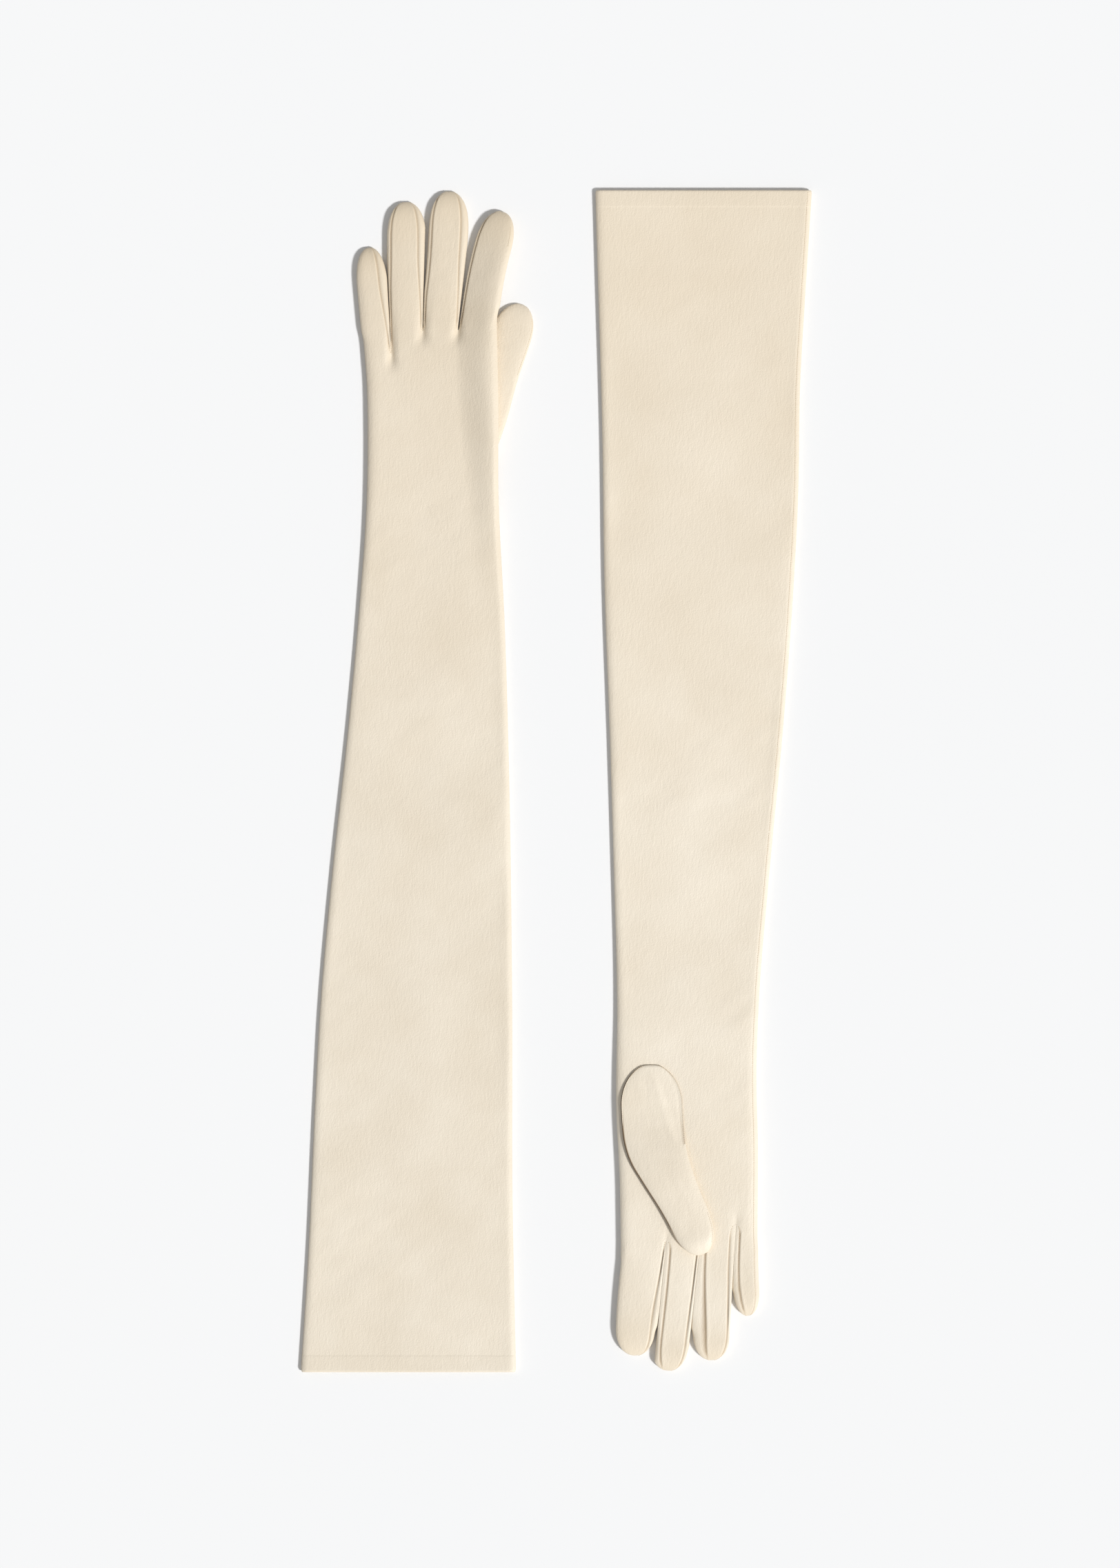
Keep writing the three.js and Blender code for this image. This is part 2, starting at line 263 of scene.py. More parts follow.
LEFT_LAY = GloveLay(
    side=Side.LEFT,
    thumb_place=Thumb.BENEATH,
    thumb_edge=Outline(
        ((0, -0.3), (100, -2.3), (210, -2.5), (350, -4.4), (430, -6.8), (509, -10.4), (560, -10.4),
         (602, -11.2))
    ),
    little_edge=Outline(
        ((0, -124.2), (71, -119.8), (151, -116.2), (211, -113), (290, -105.9), (370, -97.1), (449, -89.9),
         (489, -86.9), (549, -85.7), (568, -86.1), (590, -87.7))
    ),
    crotches=(Crotch(-33.7, 600.3, 6.5), Crotch(-54, 600.0, 1.6), Crotch(-72, 586.0, -3.0)),
    fingers=(
        FingerLay("index", -22.3, 70, 21.6, 8, 18, None, 9.7, 0.0, 0.75),
        FingerLay("middle", -43.8, 80.5, 22.8, 5.5, 1.5, 7.0, 9.6, 0.9, 0.75),
        FingerLay("ring", -63.4, 74.5, 22.6, 0, 0, 6.6, 9.0, 0.9, 0.75),
        FingerLay("little", -79.3, 62.5, 17.6, -5.5, -4.5, 3.9, None, 0.9, 0.0),
    ),
    thumb=ThumbLay(
        line=((-36, 504), (-31, 528.5), (-21, 553), (-11.5, 577), (-3.2, 598), (3.6, 615.5)),
        half_widths=(17, 17, 16, 13.2, 12.0, 10.0),
    ),
    settle=44.0,
    tip_reach=23.0,
    shoulder=3.2,
    tuck=0.0,
    touch_gap=0.26,
    valley=0.78,
    fullness=0.0,
    seed=11,
)

RIGHT_LAY = GloveLay(
    side=Side.RIGHT,
    thumb_place=Thumb.ON_TOP,
    thumb_edge=Outline(
        ((0, 0.6), (53, -0.9), (132, -3.2), (232, -4.8), (312, -7.6), (391, -10), (470, -12), (530, -11.5),
         (570, -13.4), (606, -14))
    ),
    little_edge=Outline(
        ((0, -124.2), (63, -120.2), (112, -117.4), (172, -116.4), (232, -113.4), (312, -107.4), (391, -99.9),
         (470, -93.5), (510, -92.2), (550, -93.0), (596, -92.8))
    ),
    crotches=(Crotch(-40.1, 604.9, 5.5), Crotch(-59.7, 605.0, 6.0), Crotch(-80.2, 595.3, 3.2)),
    fingers=(
        FingerLay("index", -27.1, 67, 22.8, 6.5, 1.5, None, 8.6, 0.0, 0.9),
        FingerLay("middle", -49.9, 76, 21.8, 8, 5.5, 5.2, 8.8, 2.9, 1.2),
        FingerLay("ring", -70.0, 69.5, 21.5, 4.6, 2, 3.3, 8.9, 3.6, 3.2),
        FingerLay("little", -85.7, 53.5, 15.2, 0.5, -5, 3.2, None, 2.6, 0.0),
    ),
    thumb=ThumbLay(
        line=((-31.5, 503.5), (-31.7, 529), (-33.4, 550), (-39.8, 565), (-47.8, 581), (-54.2, 594),
              (-61.4, 613)),
        half_widths=(17.6, 17.8, 17.4, 15, 12.9, 12.0, 9.8),
        height=4.6,
    ),
    settle=58.0,
    tip_reach=18.0,
    shoulder=3.8,
    tuck=0.85,
    touch_gap=0.02,
    valley=0.2,
    fullness=0.3,
    seed=23,
)


@dataclass(frozen=True)
class Leather:
    """The leather as it was cut and sewn, the same for both gloves.

    Attributes:
        thickness: Of the leather.
        sleeve_half_height: Half the height of the flattened sleeve.
        hand_half_height: Half the height of the flattened hand.
        finger_half_height: Half the height of a flattened finger.
        edge_reach: Distance over which the hand's edge rounds off.
        sleeve_reach: The same at the sleeve.
        edge_strip: Width of the strip between the flat panel and the outline.
        hem_depth: Depth of the turned hem.
        seam_groove: How far a finger's seam is drawn in.
        seam_groove_reach: How wide that groove is.
        side_seam: How strongly the long side seam is drawn in, as a share of a finger's seam.
        thumb_gap: Between the thumb and the palm that it lies on.
    """

    thickness: float = 0.62
    sleeve_half_height: float = 2.1
    hand_half_height: float = 3.1
    finger_half_height: float = 3.0
    edge_reach: float = 7.0
    sleeve_reach: float = 4.6
    edge_strip: float = 2.4
    hem_depth: float = 9.7
    seam_groove: float = 0.36
    seam_groove_reach: float = 0.75
    side_seam: float = 0.22
    thumb_gap: float = 0.25


CUT = Leather()
RIDGE_LINE = Outline(((420, -12), (500, -17), (545, -22), (590, -24.5), (625, -19), (680, -8)))
RIDGE_HEIGHT = 4.4
STRIP_COLUMNS = 18
SIDE_COLUMNS = 12
FINGER_ROW = 1.25
TIP_ROWS = 14
# The end of a finger, where its rows draw together and its height falls away.
TIP_LENGTH = 15.0
# The start of a finger, where the hand's own shape passes into the finger's.
ROOT_LENGTH = 17.0
# The hand's last row, before it is shifted onto the crotches.
LAST_ROW = 600.0
# Where the hand's edges run into the index and the little finger.
THUMB_ROOT, LITTLE_ROOT = 602.0, 590.0
# Where the skin is divided between the sleeve's piece and the hand's.
PIECE_SPLIT = 370.0
# Width of the flat panel at the crotches, which spaces the columns.
PANEL_WIDTH = 78.0
# Roundness of a side's section: 2 is an ellipse, more is squarer.
SECTION_POWER = 2.3
# Painted shade: how dark a finger's seam is painted on the side that lies away from the light, and on the
# other, lit side.
SHADE_SIDE_SEAM_PAINT, LIT_SIDE_SEAM_PAINT = 1.4, 0.85


# ---- a glove's outer surface ------------------------------------------------------------------------


def heading(lean: Array | float) -> Array:
    """Unit vector (across, along) of a lean in degrees towards the thumb side."""
    a = np.radians(lean)
    return np.stack([np.sin(a), np.cos(a)], axis=-1)


def strip_shares(count: int, width: float) -> Array:
    """Column places over a strip of leather, closer together beside its two edges.

    Args:
        count: Number of gaps between columns.
        width: Width of the strip in millimetres.

    Returns:
        count + 1 shares from 0 to 1.
    """
    near = np.array([0.0, 0.35, 0.75, 1.3, 2.1]) / width
    middle = np.linspace(near[-1], 1.0 - near[-1], count - 7)
    return np.concatenate([near[:-1], middle, (1.0 - near[:-1])[::-1]])


def side_arc(start: Array, reach: Array, half_height: Array, count: int, power: float) -> tuple[Array, Array]:
    """Points round the side of a flattened tube, from the upper seam to the lower one.

    Args:
        start: Distance of the seam from the middle line, one for each row.
        reach: Distance of the outline from the middle line.
        half_height: Half the tube's height.
        count: Number of gaps between columns.
        power: How square the side is.

    Returns:
        Distances from the middle line and heights about the middle, rows by count + 1 columns.
    """
    share = np.clip(start / reach, 0.0, 0.999)
    first = np.arccos(share ** (power / 2.0))
    angle = first[:, None] * np.linspace(1.0, -1.0, count + 1)[None, :]
    out = reach[:, None] * np.cos(angle) ** (2.0 / power)
    up = half_height[:, None] * np.sign(angle) * np.abs(np.sin(angle)) ** (2.0 / power)
    return out, up


@dataclass
class Skin:
    """The outer surface of a glove: points, faces, and the piece of leather each face belongs to."""

    points: list[Array] = field(default_factory=list)
    # Closeness to a seam at each point, with painted shade above 1.
    seams: list[Array] = field(default_factory=list)
    quads: list[Array] = field(default_factory=list)
    owners: list[str] = field(default_factory=list)
    owner_of: list[Array] = field(default_factory=list)
    count: int = 0

    def add(self, grid: Array, seam: Array, owners: Sequence[str]) -> None:
        """Adds a grid of points whose rows run along the glove.

        Args:
            grid: Rows by columns by 3 points.
            seam: Rows by columns closeness to a seam, 0 to 1, raised above 1 where shade is painted on.
            owners: The piece of each gap between columns.
        """
        rows, columns = grid.shape[:2]
        index = self.count + np.arange(rows * columns).reshape(rows, columns)
        quads = np.stack([index[:-1, :-1], index[1:, :-1], index[1:, 1:], index[:-1, 1:]], axis=-1)
        for name in owners:
            if name not in self.owners:
                self.owners.append(name)
        codes = np.array([self.owners.index(name) for name in owners])
        self.points.append(grid.reshape(-1, 3))
        self.seams.append(np.broadcast_to(seam, (rows, columns)).reshape(-1))
        self.quads.append(quads.reshape(-1, 4))
        self.owner_of.append(np.broadcast_to(codes, (rows - 1, columns - 1)).reshape(-1))
        self.count += rows * columns

    def weld(self) -> "Surface":
        """Joins points that coincide and works out the normals.

        Returns:
            The welded surface.
        """
        points = np.concatenate(self.points)
        seams = np.concatenate(self.seams)
        quads = np.concatenate(self.quads)
        owners = np.concatenate(self.owner_of)
        keys = np.round(points, 4)
        _, first, back = np.unique(keys, axis=0, return_index=True, return_inverse=True)
        return Surface(points[first], seams[first], back.reshape(-1)[quads], owners, tuple(self.owners))


class Surface:
    """A welded outer surface with one normal at each point."""

    def __init__(
        self, points: Array, seams: Array, quads: Array, owners: Array, names: tuple[str, ...]
    ) -> None:
        """Keeps the surface and averages its normals over the faces round each point.

        Args:
            points: The points.
            seams: Closeness to a seam at each point, raised above 1 where shade is painted on.
            quads: The four points of each face.
            owners: The number of each face's piece of leather.
            names: The names of those pieces.
        """
        self.points, self.seams, self.quads, self.owners, self.names = points, seams, quads, owners, names
        a, b, c, d = (points[quads[:, i]] for i in range(4))
        face = np.cross(c - a, d - b)
        total = np.zeros_like(points)
        for i in range(4):
            np.add.at(total, quads[:, i], face)
        self.normals = total / np.maximum(np.linalg.norm(total, axis=1, keepdims=True), 1e-12)

    def height_at(self, across: Array, along: Array) -> Array:
        """Height of the upper surface nearest each place in the plane, from a coarse map.

        Args:
            across: Places across.
            along: Places along.

        Returns:
            One height for each place.
        """
        cell, facing_up = 2.5, 0.2
        up = self.normals[:, 2] > facing_up
        keys = np.round(self.points[up][:, :2] / cell).astype(int)
        table: dict[tuple[int, int], float] = {}
        for key, z in zip(map(tuple, keys), self.points[up][:, 2]):
            table[key] = max(z, table.get(key, 0.0))
        return np.array([
            max((table.get((i + di, j + dj), 0.0) for di in (-1, 0, 1) for dj in (-1, 0, 1)))
            for i, j in np.round(np.stack([across, along], -1) / cell).astype(int)
        ])


@dataclass
class SeamLine:
    """A sewn line: the points it runs through, the way out of the leather, and its body of stitches."""

    points: Array
    normals: Array
    part: str


class GloveShape:
    """Works out a glove's surface in its own coordinates."""

    def __init__(self, lay: GloveLay, cut: Leather) -> None:
        """Prepares the noises and an empty skin.

        Args:
            lay: How the glove lies.
            cut: The leather's sizes.
        """
        self.lay, self.cut = lay, cut
        self.noise = [Noise(lay.seed + i) for i in range(6)]
        self.skin = Skin()
        self.lines: list[SeamLine] = []
        self.strip = cut.edge_strip
        self._thumb_path = np.array(lay.thumb.line, float)

    # -- heights

    def lift(self, across: Array, along: Array) -> Array:
        """How far the hand is held off the table by a thumb beneath it.

        Args:
            across: Places across.
            along: Places along.

        Returns:
            Heights in millimetres.
        """
        if self.lay.thumb_place is not Thumb.BENEATH:
            return np.zeros_like(np.asarray(across, float))
        place = np.stack([np.asarray(across, float), np.asarray(along, float)], -1)
        away = np.full(place.shape[:-1], 1e9)
        for a, b in zip(self._thumb_path[:-1], self._thumb_path[1:]):
            t = np.clip(((place - a) @ (b - a)) / ((b - a) @ (b - a)), 0.0, 1.0)
            away = np.minimum(away, np.linalg.norm(place - (a + t[..., None] * (b - a)), axis=-1))
        clearance, full_reach, end_reach = 0.2, 15.0, 30.0
        return (self.lay.thumb.height + clearance) * (1.0 - smooth(away, full_reach, end_reach))

    def ridge(self, across: Array, along: Array) -> Array:
        """How far the back of the hand rises towards its thumb side, over a thumb beneath it.

        Args:
            across: Places across.
            along: Places along.

        Returns:
            Heights in millimetres.
        """
        if self.lay.thumb_place is not Thumb.BENEATH:
            return np.zeros_like(np.asarray(across, float))
        middle = RIDGE_LINE.at(along)
        wrist, knuckles, finger_middle, fingertip, lost = 420.0, 545.0, 625.0, 680.0, 0.6
        window = smooth(along, wrist, knuckles) * (1.0 - lost * smooth(along, finger_middle, fingertip))
        return RIDGE_HEIGHT * window * smooth(across, middle - 11.0, middle + 10.0)

    def arm_half(self, along: Array) -> Array:
        """Half the height of the flattened tube, lower in the sleeve than in the hand."""
        return mix(self.cut.sleeve_half_height, self.cut.hand_half_height, smooth(along, 400.0, 560.0))

    def relief(self, across: Array, along: Array) -> Array:
        """Soft waves and creases of the leather as it lies, as a height.

        Args:
            across: Places across.
            along: Places along.

        Returns:
            Heights in millimetres.
        """
        n = self.noise
        soft = 0.42 * n[0].at(across, along, 62.0) + 0.2 * n[1].at(across, along, 27.0)
        turn = math.radians(38.0)
        x = across * math.cos(turn) + along * math.sin(turn)
        y = -across * math.sin(turn) + along * math.cos(turn)
        folds = 0.11 * n[2].at(x / 3.2, y, 6.5) * smooth(n[3].at(across, along, 48.0), -0.1, 0.6)
        palm = smooth(along, 480.0, 560.0)
        lines = 0.13 * n[4].at(x, y / 3.0, 5.5) * palm * smooth(n[5].at(across, along, 36.0), -0.4, 0.4)
        return soft + folds + lines

    def hem_step(self, along: Array) -> Array:
        """How far the leather stands out over the turned hem, with its rounded edge.

        Args:
            along: Places along.

        Returns:
            Heights in millimetres.
        """
        depth = self.cut.hem_depth
        band_height, line_depth, edge_drop, edge_reach = 0.12, -0.05, -0.7, 0.9
        band = band_height * (1.0 - smooth(along, depth - 0.6, depth + 0.6))
        line = line_depth * np.exp(-(((along - depth) / 0.5) ** 2))
        edge = edge_drop * (1.0 - np.clip(along / edge_reach, 0.0, 1.0)) ** 2
        return band + line + edge

    def dip(self, across: Array, along: Array) -> Array:
        """How much of its height the hand loses in the valley that leads to each crotch.

        Args:
            across: Places across.
            along: Places along.

        Returns:
            Shares from 0 to 1.
        """
        least_width, widening, length = 1.9, 0.2, 15.0
        total = np.zeros_like(across)
        for crotch in self.lay.crotches:
            back = crotch.along - along
            middle = crotch.across - back * math.tan(math.radians(crotch.lean))
            width = least_width + widening * np.clip(back, 0.0, None)
            share = np.where(back > -1e-6, (1.0 - smooth(back, 0.0, length)) ** 2.0, 1.0)
            total = np.maximum(total, self.lay.valley * share * np.exp(-(((across - middle) / width) ** 2)))
        return total

    # -- the sleeve and the hand

    def arm_rows(self) -> Array:
        """Distances along the glove of the rows from the hem to the crotches.

        Returns:
            Rising distances, closer together round the turned hem.
        """
        hem = np.array([0.0, 0.15, 0.4, 0.8, 1.6, 3.2, 5.2, 7.4, 8.9, 9.3, 9.7, 10.1, 10.8, 12.4])
        arm = np.arange(14.4, 468.0, 2.2)
        return np.concatenate([hem, arm, np.arange(arm[-1] + 1.8, LAST_ROW - 0.6, 1.45), [LAST_ROW]])

    def crotch_shift(self, share: Array) -> Array:
        """How far the hand's last row is shifted to run through the crotches.

        Args:
            share: Shares over the hand's width.

        Returns:
            Distances along.
        """
        lay, rise = self.lay, 1.5
        ends = (lay.thumb_edge.at(THUMB_ROOT), lay.little_edge.at(LITTLE_ROOT))
        spans = [(float((c.across - ends[0]) / (ends[1] - ends[0])), c.along) for c in lay.crotches]
        stops = [(0.0, lay.crotches[0].along + rise), *spans, (1.0, lay.crotches[-1].along + rise)]
        return np.interp(share, [s[0] for s in stops], [s[1] for s in stops]) - LAST_ROW

    def column_shares(self) -> Array:
        """Places of the columns over the upper panel, strip by strip.

        Returns:
            Shares from 0 at the thumb side to 1.
        """
        lay, strip = self.lay, self.strip
        bounds = [0.0]
        for crotch in lay.crotches:
            wide = float(lay.thumb_edge.at(crotch.along)) - strip
            narrow = float(lay.little_edge.at(crotch.along)) + strip
            bounds.append((crotch.across - wide) / (narrow - wide))
        bounds.append(1.0)
        shares = [0.0]
        for low, high in zip(bounds[:-1], bounds[1:]):
            inner = strip_shares(STRIP_COLUMNS, (high - low) * PANEL_WIDTH)
            shares.extend((low + (high - low) * inner)[1:])
        return np.array(shares)

    def hand_ring(self) -> Array:
        """All points of the sleeve and hand.

        Returns:
            Rows by columns round the tube by 3.
        """
        lay, cut, strip = self.lay, self.cut, self.strip
        share, rows = self.column_shares(), self.arm_rows()
        along = rows[:, None] + self.crotch_shift(share)[None, :] * smooth(rows, 520.0, 600.0)[:, None]
        thumb, little = lay.thumb_edge.at(along), lay.little_edge.at(along)
        across = mix(thumb - strip, little + strip, share[None, :])
        for k, crotch in enumerate(lay.crotches):
            across[-1, (k + 1) * STRIP_COLUMNS] = crotch.across
            along[-1, (k + 1) * STRIP_COLUMNS] = crotch.along
        depth = np.minimum(thumb - across, across - little)
        reach = mix(cut.sleeve_reach, cut.edge_reach, smooth(along, 420.0, 560.0))
        top = 2.0 * self.arm_half(along) + self.ridge(across, along)
        bottom = self.lift(across, along)
        half = 0.5 * (top - bottom) + self.hem_step(along)
        full = half * edge_round(depth, reach, SECTION_POWER) * (1.0 - self.dip(across, along))
        base = 0.5 * (top + bottom)
        fade = smooth(depth, 0.5, 9.0) * smooth(along, 0.0, 14.0)
        upper = np.stack([across, along, base + full + fade * self.relief(across, along)], -1)
        under = 0.35 * fade * (self.relief(across + 300.0, along) + 0.6)
        lower = np.stack([across, along, base - full + np.maximum(under, 0.0)], -1)
        sides = []
        for edge, sign, column in ((lay.little_edge, -1.0, -1), (lay.thumb_edge, 1.0, 0)):
            y = along[:, column]
            rim = edge.at(y)
            round_off = reach[:, column]
            out, up = side_arc(round_off - strip, round_off, half[:, column], SIDE_COLUMNS, SECTION_POWER)
            x = rim[:, None] + sign * (out - round_off[:, None])
            z = base[:, column][:, None] + up
            hem = 0.55 * (1.0 - np.clip(y / 1.6, 0.0, 1.0)) ** 2
            x = x - sign * hem[:, None]
            side = np.stack([x, np.broadcast_to(y[:, None], x.shape), z], -1)
            side[:, 0], side[:, -1] = upper[:, column], lower[:, column]
            sides.append(side)
        return np.concatenate(
            [upper, sides[0][:, 1:], lower[:, ::-1][:, 1:], sides[1][:, ::-1][:, 1:]], axis=1
        )

    # -- fingers

    def finger_rows(self, finger: FingerLay) -> Array:
        """Distances along a finger of its rows, closer together over the tip.

        Args:
            finger: The finger.

        Returns:
            Rising distances from 0 to the finger's length.
        """
        body = np.arange(0.0, finger.length - TIP_LENGTH, FINGER_ROW)
        tip = finger.length - TIP_LENGTH + TIP_LENGTH * np.sin(np.linspace(0.0, math.pi / 2, TIP_ROWS))
        return np.concatenate([body, tip])

    def finger_line(self, k: int, t: Array) -> tuple[Array, Array, Array]:
        """The middle line of a finger.

        Args:
            k: Which finger, from the index.
            t: Distances along it.

        Returns:
            Its points, its headings and its sideways unit vectors towards the thumb side.
        """
        finger = self.lay.fingers[k]
        root_along = (self.lay.crotches[0].along, self.lay.crotches[0].along,
                      self.lay.crotches[1].along, self.lay.crotches[2].along)[k]
        fine = np.linspace(0.0, finger.length, 400)
        lean = mix(finger.lean_root, finger.lean_tip, smooth(fine, 0.15 * finger.length, finger.length))
        steps = heading(lean) * (fine[1] - fine[0])
        path = np.concatenate([[[0.0, 0.0]], np.cumsum(steps, axis=0)[:-1]])
        path = path + np.array([finger.root_across, root_along])
        centre = np.stack([np.interp(t, fine, path[:, i]) for i in (0, 1)], -1)
        way = heading(np.interp(t, fine, lean))
        return centre, way, np.stack([way[:, 1], -way[:, 0]], -1)

    def room(self, centre: Array, sideways: Array, crotch: Crotch) -> Array:
        """Distance from a finger's middle line to the line where it touches its neighbour.

        Args:
            centre: Points of the middle line.
            sideways: Its unit vectors towards the thumb side.
            crotch: The crotch beside the finger.

        Returns:
            One distance for each point.
        """
        line = heading(crotch.lean)
        corner = np.array([crotch.across, crotch.along]) - centre
        cross = lambda a, b: a[..., 0] * b[..., 1] - a[..., 1] * b[..., 0]
        return np.abs(cross(corner, line) / cross(sideways, line))

    def finger_edges(
        self, k: int, t: Array, centre: Array, sideways: Array, belly: Array, root_x: Array
    ) -> list[tuple[Array, Array, bool]]:
        """Where a finger's outlines and the seams beside them run.

        Args:
            k: Which finger, from the index.
            t: Distances along the finger.
            centre: Points of its middle line.
            sideways: Its unit vectors towards the thumb side.
            belly: Half its own width.
            root_x: Places across of its root's columns, from the middle line.

        Returns:
            For the thumb side and the little-finger side, the distances of the outline and of the seam
            from the middle line, and whether a neighbour lies there.
        """
        lay, finger = self.lay, self.lay.fingers[k]
        least_strip, most_strip, opening_length = 0.15, 0.96, 1.3
        shrink = belly / (finger.width / 2)
        grown = smooth(t, 0.0, ROOT_LENGTH)
        fuller = 1.0 + lay.fullness * (1.0 - smooth(t, finger.length - 26.0, finger.length - 13.0))
        found = []
        for which, crotch, offset, opening in (
            (0, lay.crotches[k - 1] if k > 0 else None, finger.thumb_seam, finger.thumb_open),
            (1, lay.crotches[k] if k < 3 else None, finger.little_seam, finger.little_open),
        ):
            if crotch is None:
                width = mix(abs(root_x[-which]) + self.strip, belly, grown)
                seam = width - self.strip * shrink
            else:
                space = self.room(centre, sideways, crotch) - lay.touch_gap * smooth(t, 0.0, 3.0)
                width = np.minimum(belly * fuller, space)
                settled = width - offset * shrink**0.75
                at_once = opening * (1.0 - np.exp(-t / opening_length))
                gap = mix(at_once, np.maximum(settled, least_strip), smooth(t, 0.0, lay.settle))
                seam = width - np.minimum(gap, width * most_strip)
            found.append((width, np.maximum(seam, 0.0), crotch is not None))
        return found

    def finger_ring(self, k: int, hand: Array) -> tuple[Array, Array]:
        """A finger's points.

        Args:
            k: Which finger, from the index.
            hand: The ring of the hand, whose last row the finger starts from.

        Returns:
            Points, rows by columns round the tube by 3, and the rows' distances along the finger.
        """
        lay, cut, finger = self.lay, self.cut, self.lay.fingers[k]
        n, m = STRIP_COLUMNS, SIDE_COLUMNS
        t = self.finger_rows(finger)
        centre, way, sideways = self.finger_line(k, t)
        tip = np.clip((t - (finger.length - lay.tip_reach)) / lay.tip_reach, 0.0, 1.0)
        belly = finger.width / 2 * np.sqrt(np.clip(1.0 - tip**2.5, 0.0, 1.0))
        nose = np.clip((t - (finger.length - TIP_LENGTH)) / TIP_LENGTH, 0.0, 1.0)
        half = cut.finger_half_height * np.sqrt(np.clip(1.0 - nose**2.6, 0.0, 1.0))
        last = hand[-1]
        upper_root = last[k * n:(k + 1) * n + 1]
        lower_root = last[4 * n + m:8 * n + m + 1][::-1][k * n:(k + 1) * n + 1]
        from_middle = upper_root[:, :2] - centre[0]
        root_x, root_ahead = from_middle @ sideways[0], from_middle @ way[0]
        grown = smooth(t, 0.0, ROOT_LENGTH)
        edges = self.finger_edges(k, t, centre, sideways, belly, root_x)
        (wide_t, seam_t, _), (wide_l, seam_l, _) = edges
        share = (root_x[0] - root_x) / (root_x[0] - root_x[-1])
        middle = cut.finger_half_height - (cut.finger_half_height - half) * 0.75 * nose

        def place(x: Array, z: Array, lifted: Array | float) -> Array:
            """Turns places in the finger's own frame into points of the glove.

            Args:
                x: Distances from the middle line towards the thumb side.
                z: Heights.
                lifted: How much of the hand's ridge they take.

            Returns:
                Rows by columns by 3 points.
            """
            ahead = np.interp(-x, -root_x, root_ahead) * (1.0 - grown)[:, None]
            flat = centre[:, None, :] + x[..., None] * sideways[:, None, :]
            flat = flat + ahead[..., None] * way[:, None, :]
            height = z + lifted * self.ridge(flat[..., 0], flat[..., 1])
            return np.concatenate([flat, height[..., None]], -1)

        x = mix(seam_t[:, None], -seam_l[:, None], share[None, :])
        limit = np.where(x > 0, wide_t[:, None], wide_l[:, None])
        power = lay.shoulder
        bulge = np.clip(1.0 - (np.abs(x) / np.maximum(limit, 1e-6)) ** power, 0.0, 1.0) ** (1 / power)
        height = half[:, None] * bulge
        up_root, low_root = (np.interp(-x, -root_x, root[:, 2]) for root in (upper_root, lower_root))
        rise, fade = grown[:, None], (1.0 - grown)[:, None]
        upper = place(x, middle[:, None] * rise + height * rise + up_root * fade, rise)
        lower = place(x, middle[:, None] * rise - height * rise + low_root * fade, rise)
        calm = (1.0 - nose)[:, None] * (1.0 - 0.8 * np.abs(2.0 * share - 1.0) ** 4)[None, :] * rise
        upper[..., 2] += 0.8 * calm * self.relief(upper[..., 0], upper[..., 1])
        tucked = (lay.tuck * half * (1.0 - smooth(t, finger.length - 30.0, finger.length - 12.0)))[:, None]
        around = []
        for which, (width, seam, beside) in enumerate(edges):
            sign, edge = (1.0, 0) if which == 0 else (-1.0, -1)
            out, up = side_arc(seam, np.maximum(width, 1e-6), half, m, power)
            if beside:
                up = up + tucked * (1.0 - np.abs(up) / np.maximum(half[:, None], 1e-6))
            side = place(sign * out, middle[:, None] + up, 1.0)
            if beside:
                wall = mix(upper[:, edge, 2][:, None], lower[:, edge, 2][:, None], self.drop()[None])
                side[..., 2] = mix(wall, side[..., 2], smooth(t, 0.0, 7.0)[:, None])
            else:
                side = mix(self.outer_start(which, last, t), side, grown[:, None, None])
            side[:, 0], side[:, -1] = upper[:, edge], lower[:, edge]
            around.append(side)
        ring = np.concatenate(
            [upper, around[1][:, 1:], lower[:, ::-1][:, 1:], around[0][:, ::-1][:, 1:]], axis=1
        )
        ring[-1, :] = ring[-1].mean(axis=0)
        return ring, t

    def outer_start(self, which: int, last: Array, t: Array) -> Array:
        """The hand's side carried straight on into the index or the little finger.

        Args:
            which: 0 for the thumb side, 1 for the little-finger side.
            last: The hand's last row.
            t: Distances along the finger.

        Returns:
            Rows by columns by 3 points.
        """
        begin = 4 * STRIP_COLUMNS if which == 1 else 8 * STRIP_COLUMNS + SIDE_COLUMNS
        root = last[begin:begin + SIDE_COLUMNS + 1] if which == 1 else last[begin:][::-1]
        line = self.lay.little_edge if which == 1 else self.lay.thumb_edge
        at_root = LITTLE_ROOT if which == 1 else THUMB_ROOT
        slope = float(line.at(at_root) - line.at(at_root - 12.0)) / 12.0
        return root[None] + t[:, None, None] * np.array([slope, 1.0, 0.0])

    def seam_columns(self, k: int) -> list[tuple[int, str]]:
        """Columns of a finger's ring that are sewn.

        Args:
            k: Which finger, from the index.

        Returns:
            Each column with the kind of its seam.
        """
        n, m = STRIP_COLUMNS, SIDE_COLUMNS
        found = []
        if k > 0:
            found += [(0, "upper"), (2 * n + m, "lower")]
        if k < 3:
            found += [(n, "upper"), (n + m, "lower")]
        elif self.lay.side is Side.RIGHT:
            found.append((n, "side"))
        else:
            found.append((n + m // 2, "side"))
        return found

